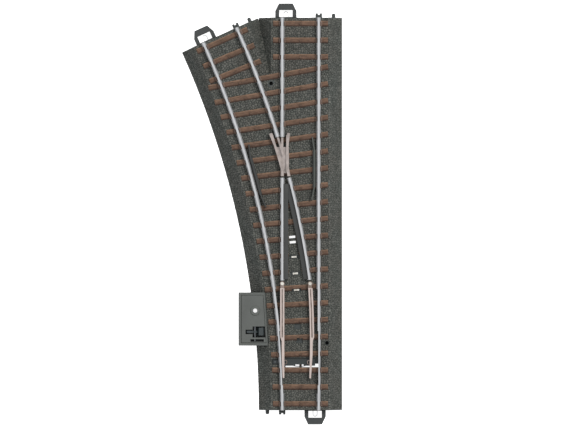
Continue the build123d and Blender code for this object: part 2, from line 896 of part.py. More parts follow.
with BuildPart() as contact_strip_straight:
    with BuildSketch(Plane.XY.offset(strip_low)):
        with Locations((0, straight_length / 2)):
            Rectangle(2 * strip_half, straight_length - 2 * end_wall - 1.0)
    extrude(amount=strip_thick)
    add(add_studs(straight_studs))
contact_strip_straight.part.label = "contact_strip_straight"
export_step(contact_strip_straight.part, "parts/contact_strip_straight.step")

strip_start = arc_angle(curve_radius, diverging_strip_y)
with BuildPart() as contact_strip_diverging:
    with BuildSketch(cross_plane(strip_start)):
        with Locations((0, strip_low + strip_thick / 2)):
            Rectangle(2 * strip_half, strip_thick)
    revolve(axis=curve_axis, revolution_arc=turnout_angle - strip_start - 0.35)
    add(add_studs(diverging_studs))
contact_strip_diverging.part.label = "contact_strip_diverging"
export_step(contact_strip_diverging.part, "parts/contact_strip_diverging.step")

with BuildPart() as wide_contacts:
    with BuildSketch(Plane.XY.offset(strip_low)):
        with BuildLine():
            Polyline((wide_places[0][0] - 0.2, wide_places[0][1] - 0.6),
                     (wide_places[-1][0] - 0.2, wide_places[-1][1] + 0.6))
        trace(line_width=1.2)
    extrude(amount=strip_thick)
    extrude(slanted_plan(deck_under, wide_places, wide_stud_length, wide_stud_width),
            amount=wide_top - deck_under)
wide_contacts.part.label = "wide_contacts"
export_step(wide_contacts.part, "parts/wide_contacts.step")

# ================================================================ rail jumpers
with BuildPart() as rail_jumpers:
    toe_ends = ((arc_x(curved_stock_r, jumper_y), jumper_y), (straight_stock_x, jumper_y))
    far_ends = ((straight_inner_x, jumper_far_y), (straight_stock_x, jumper_far_y))
    turn = radians(jumper_angle)
    arc_ends = tuple(
        (radius * cos(turn) - curve_radius, radius * sin(turn))
        for radius in (curved_stock_r, curved_inner_r)
    )
    for ends in (toe_ends, far_ends, arc_ends):
        with BuildSketch(Plane.XY.offset(jumper_low)):
            with BuildLine():
                Polyline(*ends)
            trace(line_width=jumper_width)
        extrude(amount=jumper_high - jumper_low)
        with BuildSketch(Plane.XY.offset(jumper_low)):
            with Locations(*ends):
                Circle(jumper_tab)
        extrude(amount=rail_base - jumper_low)
rail_jumpers.part.label = "rail_jumpers"
export_step(rail_jumpers.part, "parts/rail_jumpers.step")

# ================================================================ point blades
boss_radius = 1.1
boss_top = 9.85
heel_hole = pin_radius + 0.05
neck_low_y = 58.6
neck_half = 0.85
groove_half = 0.3
groove_low_y = 35.0
groove_depth = 1.0
channel_low_y = 35.2
channel_run_out = 2.0
tip_taper_y = 27.0
post_radius = 0.38
left_post_x = -7.2
right_post_x = 3.95
right_post_closed_x = right_post_x + throw
eye_clearance = 0.12
eye_play = 0.5
eye_shift = -0.1
eye_top = 8.6
eye_wall = 0.28
eye_arm_width = 1.3
neck_top = rail_top - 0.4


def eye_plan(plane, x, grow=0.0):
    """Slotted eye of a blade, or its outer rim, around the throw bar's post."""
    with BuildSketch(plane) as eye:
        with Locations(Location((x, throw_bar_y + eye_shift), 90)):
            SlotCenterToCenter(eye_play, 2 * (post_radius + eye_clearance + grow))
    return eye.sketch


def blade(plan, groove, heel, post_x, run_side_x):
    """A blade from its closed plan: bar, top groove, heel boss, neck and slotted eye."""
    low_plane = Plane.XY.offset(blade_base)
    with BuildPart() as body:
        extrude(plan, amount=rail_top - blade_base)
        extrude(groove, amount=groove_depth + 1, mode=Mode.SUBTRACT)
        with BuildSketch(low_plane):
            with Locations((heel[0], (heel[1] + neck_low_y) / 2)):
                Rectangle(2 * neck_half, heel[1] - neck_low_y + 0.4)
        extrude(amount=neck_top - blade_base)
        with BuildSketch(low_plane):
            with Locations(heel):
                Circle(boss_radius)
        extrude(amount=boss_top - blade_base)
        with BuildSketch(low_plane):
            add(eye_plan(low_plane, post_x, eye_wall))
            with Locations(((post_x + run_side_x) / 2, throw_bar_y + eye_shift)):
                Rectangle(abs(post_x - run_side_x) + 0.4, eye_arm_width)
        extrude(amount=eye_top - blade_base)
        extrude(eye_plan(Plane.XY.offset(blade_base - 1), post_x), amount=eye_top - blade_base + 1.01,
                mode=Mode.SUBTRACT)
        with BuildSketch(Plane.XY.offset(blade_base - 1)):
            with Locations(heel):
                Circle(heel_hole)
        extrude(amount=4, mode=Mode.SUBTRACT)
        with BuildSketch(Plane.XY.offset(boss_top)):
            with Locations(heel):
                Circle(boss_radius)
        extrude(amount=1, mode=Mode.SUBTRACT)
    return body.part


def left_x(offset, y):
    """X at an offset outwards from the left blade's running side."""
    return straight_inner_x + blade_half - offset


def right_x(offset, y):
    """X at an offset outwards from the closed right blade's running side."""
    return arc_x(curved_inner_r - blade_half + offset, y)


def blade_shape(plane, x_at):
    """Plan of a closed blade: tapered tip, thin run and the wide channel behind it."""
    full = 2 * blade_half
    corners = [(0, blade_tip_y), (blade_tip_width, blade_tip_y), (blade_low_width, tip_taper_y)]
    corners += [(blade_low_width, channel_low_y - channel_run_out), (full, channel_low_y)]
    steps = [channel_low_y + (neck_low_y - channel_low_y) * n / 4 for n in range(1, 5)]
    corners += [(full, y) for y in steps]
    corners += [(0, y) for y in reversed(steps)]
    corners += [(0, channel_low_y), (0, tip_taper_y)]
    return outline(plane, *[(x_at(offset, y), y) for offset, y in corners])


def groove_shape(plane, x_at):
    """Plan of the groove along the middle of a blade."""
    sides = (blade_half - groove_half, blade_half + groove_half)
    middle_y = (groove_low_y + neck_low_y) / 2
    run = (groove_low_y, middle_y, neck_low_y - 0.5)
    corners = [(x_at(sides[0], y), y) for y in run]
    corners += [(x_at(sides[1], y), y) for y in reversed(run)]
    return outline(plane, *corners)


def left_plan(plane, shape):
    """The left blade's plan with its back cut clear of the curved stock rail."""
    relieved_r = curved_stock_r + relieved_side + blade_gap
    full_r = curved_stock_r + half_head + blade_gap
    with BuildSketch(plane) as plan:
        add(shape)
        with Locations((-curve_radius, 0)):
            Circle(relieved_r, mode=Mode.SUBTRACT)
        add(ring_strip(plane, relieved_r - 3, full_r, relief_high_y - 0.6, neck_low_y + 3),
            mode=Mode.SUBTRACT)
    return plan.sketch


def right_plan(plane, shape):
    """The closed right blade's plan with its back cut clear of the straight stock rail."""
    relieved_x = straight_stock_x - relieved_side - blade_gap
    full_x = straight_stock_x - half_head - blade_gap
    with BuildSketch(plane) as plan:
        add(shape)
        with Locations((relieved_x + 2, 30)):
            Rectangle(4, 70, mode=Mode.SUBTRACT)
        with Locations((full_x + 2, relief_high_y - 0.6 + 15)):
            Rectangle(4, 30, mode=Mode.SUBTRACT)
    return plan.sketch


blade_plane = Plane.XY.offset(blade_base)
groove_plane = Plane.XY.offset(rail_top - groove_depth)

left_body = blade(
    left_plan(blade_plane, blade_shape(blade_plane, left_x)),
    groove_shape(groove_plane, left_x),
    left_heel,
    left_post_x,
    left_x(0, throw_bar_y),
)
with BuildPart() as left_blade:
    add(left_body)
left_blade.part.label = "left_blade"
export_step(left_blade.part, "parts/left_blade.step")

right_closed = blade(
    right_plan(blade_plane, blade_shape(blade_plane, right_x)),
    groove_shape(groove_plane, right_x),
    right_heel,
    right_post_closed_x,
    right_x(0, throw_bar_y),
)
right_heel_axis = Axis((right_heel[0], right_heel[1], 0), (0, 0, 1))
right_open = right_closed.rotate(right_heel_axis, -throw_angle)
with BuildPart() as right_blade:
    add(right_open)
right_blade.part.label = "right_blade"
export_step(right_blade.part, "parts/right_blade.step")

pin_head_radius = 0.75
with BuildPart() as blade_pivot_pins:
    for low, high, radius in (
        (4.9, deck_under, pin_head_radius),
        (deck_under, boss_top + 0.05, pin_radius),
        (boss_top + 0.05, rail_top - 0.05, pin_head_radius),
    ):
        with BuildSketch(Plane.XY.offset(low)):
            with Locations(left_heel, right_heel):
                Circle(radius)
        extrude(amount=high - low)
blade_pivot_pins.part.label = "blade_pivot_pins"
export_step(blade_pivot_pins.part, "parts/blade_pivot_pins.step")

# ================================================================ throw bar and its retainer
bar_low = 5.85
bar_high = 7.25
bar_low_y = 21.35
bar_high_y = 24.7
bar_left = -9.0
bar_right = 7.0
notch_middle_x = -0.5
notch_half = 2.0
notch_depth = 0.6
leaf_half = 3.1
leaf_bow = 0.35
leaf_width = 0.3
tongue_left = -13.2
tongue_width = 1.8
link_x = -12.2
link_radius = 0.25
link_hole = 0.3
retainer_low = 4.3
retainer_left = -8.6
retainer_right = 11.0
retainer_low_y = 17.2
retainer_high_y = 28.4
window_half = 7.9
window_middle_x = 0.7
window_top_y = 22.3
window_depth = 1.9

with BuildPart() as throw_bar:
    with BuildSketch(Plane.XY.offset(bar_low)):
        with Locations(((bar_left + bar_right) / 2, (bar_low_y + bar_high_y) / 2)):
            Rectangle(bar_right - bar_left, bar_high_y - bar_low_y)
        with Locations((tongue_left / 2, throw_bar_y)):
            Rectangle(-tongue_left, tongue_width)
        with Locations((notch_middle_x, bar_low_y + notch_depth / 2)):
            Rectangle(2 * notch_half, notch_depth, mode=Mode.SUBTRACT)
        with BuildLine():
            ThreePointArc(
                (notch_middle_x - leaf_half, bar_low_y + leaf_width / 2),
                (notch_middle_x, bar_low_y - leaf_bow),
                (notch_middle_x + leaf_half, bar_low_y + leaf_width / 2),
            )
        trace(line_width=leaf_width)
        with Locations((link_x, throw_bar_y)):
            Circle(link_hole, mode=Mode.SUBTRACT)
    extrude(amount=bar_high - bar_low)
    with BuildSketch(Plane.XY.offset(bar_high)):
        with Locations((left_post_x, throw_bar_y), (right_post_x, throw_bar_y)):
            Circle(post_radius)
    extrude(amount=eye_top - bar_high)
throw_bar.part.label = "throw_bar"
export_step(throw_bar.part, "parts/throw_bar.step")

with BuildPart() as throw_bar_retainer:
    with BuildSketch(Plane.XY.offset(retainer_low)):
        with Locations(((retainer_left + retainer_right) / 2,
                        (retainer_low_y + retainer_high_y) / 2)):
            Rectangle(retainer_right - retainer_left, retainer_high_y - retainer_low_y)
        with Locations(retainer_centre):
            with GridLocations(*retainer_screw_spacing, 2, 2):
                Circle(screw_radius + 0.1, mode=Mode.SUBTRACT)
        with Locations((window_middle_x, window_top_y - window_depth / 2)):
            Rectangle(2 * window_half, window_depth, mode=Mode.SUBTRACT)
    extrude(amount=deck_under - retainer_low)
    with BuildSketch(Plane.XY.offset(strip_low - 0.1)):
        with Locations((0, (retainer_low_y + retainer_high_y) / 2)):
            Rectangle(strip_room_width, 20)
    extrude(amount=1, mode=Mode.SUBTRACT)
throw_bar_retainer.part.label = "throw_bar_retainer"
export_step(throw_bar_retainer.part, "parts/throw_bar_retainer.step")

retainer_head_radius = 1.1
retainer_head_depth = 0.6
with BuildPart() as retainer_screws:
    for low, high, radius in (
        (retainer_low - retainer_head_depth, retainer_low, retainer_head_radius),
        (retainer_low, deck_under + 0.9, screw_radius),
    ):
        with BuildSketch(Plane.XY.offset(low)):
            with Locations(retainer_centre):
                with GridLocations(*retainer_screw_spacing, 2, 2):
                    Circle(radius)
        extrude(amount=high - low)
retainer_screws.part.label = "retainer_screws"
export_step(retainer_screws.part, "parts/retainer_screws.step")

# ================================================================ drive slide and link
slide_low = 1.4
slide_high = 2.4
fork_high = 2.9
fork_x = lever_axis_x - throw / 2
fork_gap = 0.7
leg_width = 1.1
slide_half_width = 1.6
arm_left = -13.6
arm_right = -10.8
arm_low_y = 22.0
slide_left = -25.4
fork_width = 3.0
arm_corner = 0.6

with BuildPart() as drive_slide:
    with BuildSketch(Plane.XY.offset(slide_low)):
        with Locations(((slide_left + arm_right) / 2, lever_y)):
            Rectangle(arm_right - slide_left, 2 * slide_half_width)
        with Locations(((arm_left + arm_right) / 2, (arm_low_y + lever_y) / 2)):
            Rectangle(arm_right - arm_left, lever_y - arm_low_y)
        with Locations((link_x, throw_bar_y)):
            Circle(link_hole, mode=Mode.SUBTRACT)
    extrude(amount=slide_high - slide_low)
    with BuildSketch(Plane.XY.offset(slide_low)):
        with Locations((fork_x, lever_y)):
            Rectangle(fork_width, 2 * slide_half_width)
    extrude(amount=fork_high - slide_low)
    with BuildSketch(Plane.XY.offset(slide_low - 0.1)):
        with Locations((fork_x, lever_y)):
            Rectangle(2 * fork_gap, leg_width + 0.4)
    extrude(amount=2, mode=Mode.SUBTRACT)
    chamfer(drive_slide.edges().filter_by(Axis.Z).sort_by(Axis.X)[-2:], length=arm_corner)
drive_slide.part.label = "drive_slide"
export_step(drive_slide.part, "parts/drive_slide.step")

link_bend_high = 4.9
link_bend_low = 3.1
link_bow = 2.0
link_bend_radius = 0.4
with BuildPart() as link_spring:
    with BuildLine() as link_path:
        FilletPolyline(
            (link_x, throw_bar_y, bar_high + 0.1),
            (link_x, throw_bar_y, link_bend_high),
            (link_x, throw_bar_y - link_bow, (link_bend_high + link_bend_low) / 2),
            (link_x, throw_bar_y, link_bend_low),
            (link_x, throw_bar_y, slide_low + 0.1),
            radius=link_bend_radius,
        )
    with BuildSketch(Plane(origin=link_path.line @ 0, z_dir=link_path.line % 0)):
        Circle(link_radius)
    sweep()
link_spring.part.label = "link_spring"
export_step(link_spring.part, "parts/link_spring.step")

# ================================================================ hand lever and axle
axle_radius = 0.45
axle_low_y = 33.0
axle_high_y = 42.0
hub_radius = 1.25
arm_reach = 4.3
arm_half_thick = 0.45
knob_near = 1.2
knob_far = 3.9
knob_top = 2.2
knob_low = -0.6
leg_half_thick = 0.35
leg_tip_radius = 0.6
lever_plane = Plane(
    origin=(lever_axis_x, lever_y, lever_axis_z), x_dir=(1, 0, 0), z_dir=(0, -1, 0)
)
knob_y = 37.75
knob_width = 3.7
knob_round = 0.5
axle_play = 0.07

with BuildPart() as lever_neutral:
    with BuildSketch(lever_plane):
        Circle(hub_radius)
        with Locations((-arm_reach / 2, 0)):
            Rectangle(arm_reach, 2 * arm_half_thick)
        with Locations((0, -lever_leg / 2)):
            Rectangle(2 * leg_half_thick, lever_leg)
        with Locations((0, -lever_leg)):
            Circle(leg_tip_radius)
        with Locations((knob_near / 2 + 0.6, 0)):
            Rectangle(knob_near + 1.2, 2 * arm_half_thick)
    extrude(amount=leg_width / 2, both=True)
    with BuildSketch(lever_plane.offset(lever_y - knob_y)):
        with Locations(((knob_near + knob_far) / 2, (knob_low + knob_top) / 2)):
            Rectangle(knob_far - knob_near, knob_top - knob_low)
    extrude(amount=knob_width / 2, both=True)
    knob_edges = lever_neutral.edges().filter_by(Axis.Y).group_by(Axis.Z)[-1]
    fillet(knob_edges, radius=knob_round)
    with BuildSketch(lever_plane):
        Circle(axle_radius + axle_play)
    extrude(amount=4, both=True, mode=Mode.SUBTRACT)

lever_turn_axis = Axis((lever_axis_x, lever_y, lever_axis_z), (0, 1, 0))
lever_rest = lever_neutral.part.rotate(lever_turn_axis, lever_half_swing)
with BuildPart() as hand_lever:
    add(lever_rest)
hand_lever.part.label = "hand_lever"
export_step(hand_lever.part, "parts/hand_lever.step")

with BuildPart() as lever_axle:
    with BuildSketch(Plane(origin=(lever_axis_x, axle_low_y, lever_axis_z), z_dir=(0, 1, 0))):
        Circle(axle_radius)
    extrude(amount=axle_high_y - axle_low_y)
    chamfer(lever_axle.edges(), length=0.12)
lever_axle.part.label = "lever_axle"
export_step(lever_axle.part, "parts/lever_axle.step")

# ================================================================ lever housing
right_wall = 0.85
web_low = 3.4
web_ranges = ((34.0, 34.8), (40.3, 41.1))
housing_post_radius = 1.8
pilot_depth_z = 5.2
opening_high_z = 3.2
opening_low_y = 32.35
opening_high_y = 42.2

ledge_width = 0.7
ledge_depth = 0.8

with BuildPart() as housing_frame:
    for low_y, high_y in web_ranges:
        with BuildSketch(Plane.XY.offset(web_low)):
            with Locations((-22, (low_y + high_y) / 2)):
                Rectangle(16, high_y - low_y)
        extrude(amount=cover_ledge_z - web_low)
    with BuildSketch(Plane.XY.offset(bottom_cover_high)):
        with Locations(*cover_screw_places):
            Circle(housing_post_radius)
    extrude(amount=cover_ledge_z - bottom_cover_high)
    ledge_z = cover_ledge_z - ledge_depth
    with BuildSketch(Plane.XY.offset(ledge_z)):
        add(housing_plan(ledge_z, housing_wall - 0.2, right_wall - 0.2))
        add(housing_plan(ledge_z, housing_wall + ledge_width, right_wall + ledge_width / 2),
            mode=Mode.SUBTRACT)
    extrude(amount=ledge_depth)
    extrude(housing_plan(0, housing_wall - 0.2, right_wall - 0.2), amount=8, mode=Mode.INTERSECT)

with BuildPart() as lever_housing:
    extrude(housing_plan(0), amount=housing_top)
    chamfer(lever_housing.faces().sort_by(Axis.Z)[-1].edges(), length=0.35)
    extrude(housing_plan(-1, housing_wall, right_wall), amount=housing_top + 2,
            mode=Mode.SUBTRACT)
    add(housing_frame.part)
    with BuildSketch(Plane.XY.offset(-0.1)):
        with Locations((-16, (opening_low_y + opening_high_y) / 2)):
            Rectangle(4, opening_high_y - opening_low_y)
    extrude(amount=opening_high_z + 0.1, mode=Mode.SUBTRACT)
    with BuildSketch(Plane.XY.offset(bottom_cover_high)):
        with Locations(*cover_screw_places):
            Circle(screw_radius)
    extrude(amount=pilot_depth_z - bottom_cover_high, mode=Mode.SUBTRACT)
    with BuildSketch(Plane(origin=(lever_axis_x, 33.5, lever_axis_z), z_dir=(0, 1, 0))):
        Circle(axle_radius + 0.02)
    extrude(amount=8.2, mode=Mode.SUBTRACT)
    with BuildSketch(Plane.XY.offset(lever_axis_z)):
        with Locations((lever_axis_x, 37.6)):
            Rectangle(2 * axle_radius, 8.2)
    extrude(amount=2, mode=Mode.SUBTRACT)
lever_housing.part.label = "lever_housing"
export_step(lever_housing.part, "parts/lever_housing.step")

# ================================================================ housing covers
cover_play = 0.1
lever_window_low_y = 34.9
lever_window_high_y = 40.2
lever_window_left = -23.0
arm_slot_left = -26.35
arm_slot_low_y = 36.5
arm_slot_high_y = 38.65
long_slot = ((-24.0, 32.75), (-17.6, 34.1))
collar_radius = 2.3
collar_top = 8.0
lantern_boss_low = 4.2
cover_head_radius = 1.15
cover_head_depth = 0.5

with BuildPart() as lever_housing_cover:
    extrude(
        housing_plan(cover_ledge_z, housing_wall + cover_play, right_wall + cover_play),
        amount=housing_top - cover_ledge_z,
    )
    chamfer(lever_housing_cover.faces().sort_by(Axis.Z)[-1].edges(), length=0.2)
    with BuildSketch(Plane.XY.offset(lantern_boss_low)):
        with Locations((lantern_x, lantern_y)):
            Circle(collar_radius)
    extrude(amount=collar_top - lantern_boss_low)
    chamfer(lever_housing_cover.faces().sort_by(Axis.Z)[-1].edges(), length=0.2)
    with BuildSketch(Plane.XY.offset(lantern_boss_low - 0.1)):
        with Locations((lantern_x, lantern_y)):
            Circle(lantern_radius)
    extrude(amount=5, mode=Mode.SUBTRACT)
    with BuildSketch(Plane.XY.offset(cover_ledge_z - 0.1)):
        window_middle_y = (lever_window_low_y + lever_window_high_y) / 2
        with Locations(((lever_window_left - 14) / 2, window_middle_y)):
            Rectangle(-14 - lever_window_left, lever_window_high_y - lever_window_low_y)
        with Locations(((arm_slot_left - 22) / 2, (arm_slot_low_y + arm_slot_high_y) / 2)):
            Rectangle(-22 - arm_slot_left, arm_slot_high_y - arm_slot_low_y)
        with Locations(((long_slot[0][0] + long_slot[1][0]) / 2,
                        (long_slot[0][1] + long_slot[1][1]) / 2)):
            Rectangle(long_slot[1][0] - long_slot[0][0], long_slot[1][1] - long_slot[0][1])
    extrude(amount=2, mode=Mode.SUBTRACT)
    with BuildSketch(Plane.XY.offset(cover_ledge_z - 0.1)):
        with Locations((lever_axis_x, (axle_low_y + axle_high_y) / 2)):
            Rectangle(2 * axle_radius + 0.3, axle_high_y - axle_low_y + 0.4)
    extrude(amount=0.2, mode=Mode.SUBTRACT)
lever_housing_cover.part.label = "lever_housing_cover"
export_step(lever_housing_cover.part, "parts/lever_housing_cover.step")

lobe_left = -18.2
lobe_near = -15.2
lobe_right = -7.8
lobe_low_y = 20.6
lobe_high_y = 42.0
with BuildPart() as mechanism_cover:
    cover_thick = bottom_cover_high - bottom_cover_low
    extrude(
        housing_plan(bottom_cover_low, housing_wall + cover_play, right_wall + cover_play),
        amount=cover_thick,
    )
    with BuildSketch(Plane.XY.offset(bottom_cover_low)):
        with BuildLine():
            Polyline(
                (lobe_near, lobe_low_y),
                (lobe_right, lobe_low_y),
                (lobe_right, lobe_high_y),
                (lobe_left, lobe_high_y),
                (lobe_left, opening_low_y + 0.1),
                (lobe_near, opening_low_y + 0.1),
                close=True,
            )
        make_face()
    extrude(amount=cover_thick)
    with BuildSketch(Plane.XY.offset(bottom_cover_low - 0.1)):
        with Locations(*cover_screw_places):
            Circle(screw_radius + 0.1)
        with Locations((lantern_x, lantern_y)):
            Circle(lantern_radius + 0.3)
    extrude(amount=3, mode=Mode.SUBTRACT)
    with BuildSketch(Plane.XY.offset(bottom_cover_low - 0.1)):
        with Locations(*cover_screw_places):
            Circle(cover_head_radius + cover_play)
    extrude(amount=cover_head_depth + 0.1, mode=Mode.SUBTRACT)
mechanism_cover.part.label = "mechanism_cover"
export_step(mechanism_cover.part, "parts/mechanism_cover.step")

with BuildPart() as cover_screws:
    for low, high, radius in (
        (bottom_cover_low, bottom_cover_low + cover_head_depth, cover_head_radius),
        (bottom_cover_low + cover_head_depth, pilot_depth_z - 0.2, screw_radius),
    ):
        with BuildSketch(Plane.XY.offset(low)):
            with Locations(*cover_screw_places):
                Circle(radius)
        extrude(amount=high - low)
cover_screws.part.label = "cover_screws"
export_step(cover_screws.part, "parts/cover_screws.step")

leaf_thick = 0.25
leaf_bend = 0.5
leaf_height = 1.5
leaf_left = housing_left + housing_wall + leaf_thick / 2
with BuildPart() as detent_spring:
    with BuildSketch(Plane.XY.offset(slide_low + 0.1)):
        with BuildLine():
            FilletPolyline(
                (leaf_left, 47.0),
                (leaf_left, 42.5),
                (-25.2, 40.0),
                (-23.4, 39.5),
                (-21.6, 40.0),
                (-19.2, 41.6),
                radius=leaf_bend,
            )
        trace(line_width=leaf_thick)
    extrude(amount=leaf_height)
detent_spring.part.label = "detent_spring"
export_step(detent_spring.part, "parts/detent_spring.step")

# ================================================================ track joint loops
contact_leaf_low = loop_high + 0.05
contact_leaf_high = 5.3
contact_leaf_reach = 3.1
contact_leaf_gap = 1.0


def latch_loop(joint_plane):
    """Sprung latch loop that stands out of one end of the roadbed."""
    with BuildPart() as loop:
        with BuildSketch(joint_plane.offset(loop_low)):
            with BuildLine():
                Polyline(
                    (loop_x - loop_half, 0),
                    (loop_x + loop_half, 0),
                    (loop_x + loop_half, loop_hole_far - 0.5),
                    (loop_x + loop_cap_half, loop_reach),
                    (loop_x - loop_cap_half, loop_reach),
                    (loop_x - loop_half, loop_hole_far - 0.5),
                    close=True,
                )
            make_face()
            with Locations((loop_x, (loop_hole_near + loop_hole_far) / 2)):
                Rectangle(2 * loop_hole_half, loop_hole_far - loop_hole_near,
                          mode=Mode.SUBTRACT)
        extrude(amount=loop_high - loop_low)
        chamfer(loop.faces().sort_by(Axis.Z)[-1].outer_wire().edges(), length=0.3)
    return loop.part


with BuildPart() as latch_loop_toe:
    add(latch_loop(joint_planes["toe"]))
latch_loop_toe.part.label = "latch_loop_toe"
export_step(latch_loop_toe.part, "parts/latch_loop_toe.step")

with BuildPart() as latch_loop_straight:
    add(latch_loop(joint_planes["straight"]))
latch_loop_straight.part.label = "latch_loop_straight"
export_step(latch_loop_straight.part, "parts/latch_loop_straight.step")

with BuildPart() as latch_loop_diverging:
    add(latch_loop(joint_planes["diverging"]))
latch_loop_diverging.part.label = "latch_loop_diverging"
export_step(latch_loop_diverging.part, "parts/latch_loop_diverging.step")

with BuildPart() as joint_contacts:
    for joint_plane in joint_planes.values():
        with BuildSketch(joint_plane.offset(contact_leaf_low)):
            with BuildLine():
                FilletPolyline(
                    (loop_x - contact_leaf_gap, 0),
                    (loop_x - contact_leaf_gap, contact_leaf_reach - 0.8),
                    (loop_x, contact_leaf_reach),
                    (loop_x + contact_leaf_gap, contact_leaf_reach - 0.8),
                    (loop_x + contact_leaf_gap, 0),
                    radius=leaf_bend,
                )
            trace(line_width=leaf_thick)
        extrude(amount=contact_leaf_high - contact_leaf_low)
joint_contacts.part.label = "joint_contacts"
export_step(joint_contacts.part, "parts/joint_contacts.step")
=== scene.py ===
"""Looks of the model turnout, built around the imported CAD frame. Metres; sizes below in mm."""

import math

import bpy
import numpy as np
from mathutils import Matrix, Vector, noise
from mathutils.bvhtree import BVHTree


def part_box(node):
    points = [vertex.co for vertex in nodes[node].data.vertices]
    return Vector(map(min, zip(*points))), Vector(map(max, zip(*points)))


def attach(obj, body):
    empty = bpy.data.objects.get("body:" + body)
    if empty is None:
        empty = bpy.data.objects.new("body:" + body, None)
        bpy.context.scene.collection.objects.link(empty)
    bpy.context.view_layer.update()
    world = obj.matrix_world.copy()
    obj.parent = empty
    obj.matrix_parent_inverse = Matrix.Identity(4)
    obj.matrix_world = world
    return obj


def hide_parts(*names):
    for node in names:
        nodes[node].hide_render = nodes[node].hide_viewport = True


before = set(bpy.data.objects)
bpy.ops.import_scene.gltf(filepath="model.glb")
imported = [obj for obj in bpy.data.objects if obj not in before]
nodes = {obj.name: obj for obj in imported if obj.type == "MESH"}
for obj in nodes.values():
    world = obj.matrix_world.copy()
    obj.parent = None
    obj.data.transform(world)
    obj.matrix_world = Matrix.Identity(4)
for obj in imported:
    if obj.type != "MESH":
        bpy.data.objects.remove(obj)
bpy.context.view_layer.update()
MM = 0.001

# ---------------------------------------------------------------- sizes shared with the CAD
curve_radius = 437.5
turnout_angle = 24.28
bed_half_base = 20.0
bed_slope_run = 6.0
ballast_top = 7.1
bed_slope = ballast_top / bed_slope_run


def box_mm(node):
    """Lowest and highest corner of a CAD node, in millimetres."""
    low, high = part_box(node)
    return np.array(low) / MM, np.array(high) / MM


straight_length = box_mm("stock_rail_straight")[1][1]
sleeper_low_z, sleeper_top_z = box_mm("sleepers")[0][2], box_mm("sleepers")[1][2]

# ---------------------------------------------------------------- camera, light and floor
view_centre = (-7.2, 94.1)
view_width = 274.2
camera_lens = 600.0
camera_sensor = 36.0
camera_height = view_width * camera_lens / camera_sensor
floor_half = 1.5
floor_drop = 0.00005


def make_camera():
    """Long lens straight above the object, with the straight route running up the picture."""
    data = bpy.data.cameras.new("camera")
    data.lens = camera_lens
    data.sensor_width = camera_sensor
    data.clip_start = 0.05
    data.clip_end = 20
    camera = bpy.data.objects.new("camera", data)
    bpy.context.scene.collection.objects.link(camera)
    camera.location = (view_centre[0] * MM, view_centre[1] * MM, camera_height * MM)
    camera.rotation_euler = (0, 0, 0)
    bpy.context.scene.camera = camera


def area_light(name, place, target, size, power, colour=(1, 1, 1)):
    """Square soft box aimed at a point."""
    data = bpy.data.lights.new(name, "AREA")
    data.shape = "SQUARE"
    data.size = size
    data.energy = power
    data.color = colour
    lamp = bpy.data.objects.new(name, data)
    bpy.context.scene.collection.objects.link(lamp)
    lamp.location = place
    aim = Vector(target) - Vector(place)
    lamp.rotation_euler = aim.to_track_quat("-Z", "Y").to_euler()


def make_lights():
    """Key from the upper right, weak fill from the left, soft overhead light, pale surround."""
    middle = (view_centre[0] * MM, view_centre[1] * MM, 0)
    area_light("key", (0.66, 0.74, 1.2), middle, 0.4, 16.0, (1.0, 0.985, 0.96))
    area_light("fill", (-0.8, 0.2, 1.0), middle, 0.9, 1.5, (0.95, 0.975, 1.0))
    area_light("overhead", (0.0, 0.1, 1.4), middle, 1.1, 2.4, (1.0, 0.995, 0.985))
    world = bpy.data.worlds.new("surround")
    bpy.context.scene.world = world
    world.use_nodes = True
    back = world.node_tree.nodes["Background"]
    back.inputs["Color"].default_value = (0.96, 0.975, 1.0, 1)
    back.inputs["Strength"].default_value = 0.5
    bpy.context.scene.view_settings.view_transform = "Standard"


def make_floor():
    """Wide pale floor just under the roadbed."""
    half = floor_half
    mesh = bpy.data.meshes.new("floor")
    corners = [(-half, -half, 0), (half, -half, 0), (half, half, 0), (-half, half, 0)]
    mesh.from_pydata(corners, [], [(0, 1, 2, 3)])
    floor = bpy.data.objects.new("floor", mesh)
    bpy.context.scene.collection.objects.link(floor)
    floor.location = (0, 0, -floor_drop)
    floor.data.materials.append(plain_floor())


# ---------------------------------------------------------------- material kit
def new_material(name):
    """Empty node material; returns it with its tree and its Principled shader."""
    material = bpy.data.materials.new(name)
    material.use_nodes = True
    tree = material.node_tree
    return material, tree, tree.nodes["Principled BSDF"]


def add_node(tree, kind, **settings):
    """Adds a node; keys that name sockets set their values, others set properties."""
    node = tree.nodes.new(kind)
    for key, value in settings.items():
        if key in node.inputs:
            node.inputs[key].default_value = value
        else:
            setattr(node, key, value)
    return node


def rest_position(tree, stretch=(1, 1, 1), turn=0.0):
    """Object coordinates, scaled per axis and turned about Z."""
    coordinates = add_node(tree, "ShaderNodeTexCoord")
    mapping = add_node(tree, "ShaderNodeMapping")
    mapping.inputs["Scale"].default_value = stretch
    mapping.inputs["Rotation"].default_value = (0, 0, turn)
    tree.links.new(coordinates.outputs["Object"], mapping.inputs["Vector"])
    return mapping.outputs["Vector"]


def noise_value(tree, vector, scale, detail=3.0, roughness=0.55):
    """Noise between 0 and 1; scale is in cells per metre."""
    texture = add_node(tree, "ShaderNodeTexNoise", Scale=scale, Detail=detail, Roughness=roughness)
    tree.links.new(vector, texture.inputs["Vector"])
    return texture.outputs["Fac"]


def ramp(tree, value, *stops):
    """Colour ramp through (position, colour) stops."""
    node = add_node(tree, "ShaderNodeValToRGB")
    elements = node.color_ramp.elements
    while len(elements) < len(stops):
        elements.new(0.5)
    for element, (place, colour) in zip(elements, stops):
        element.position = place
        element.color = (*colour, 1)
    tree.links.new(value, node.inputs["Fac"])
    return node.outputs["Color"]


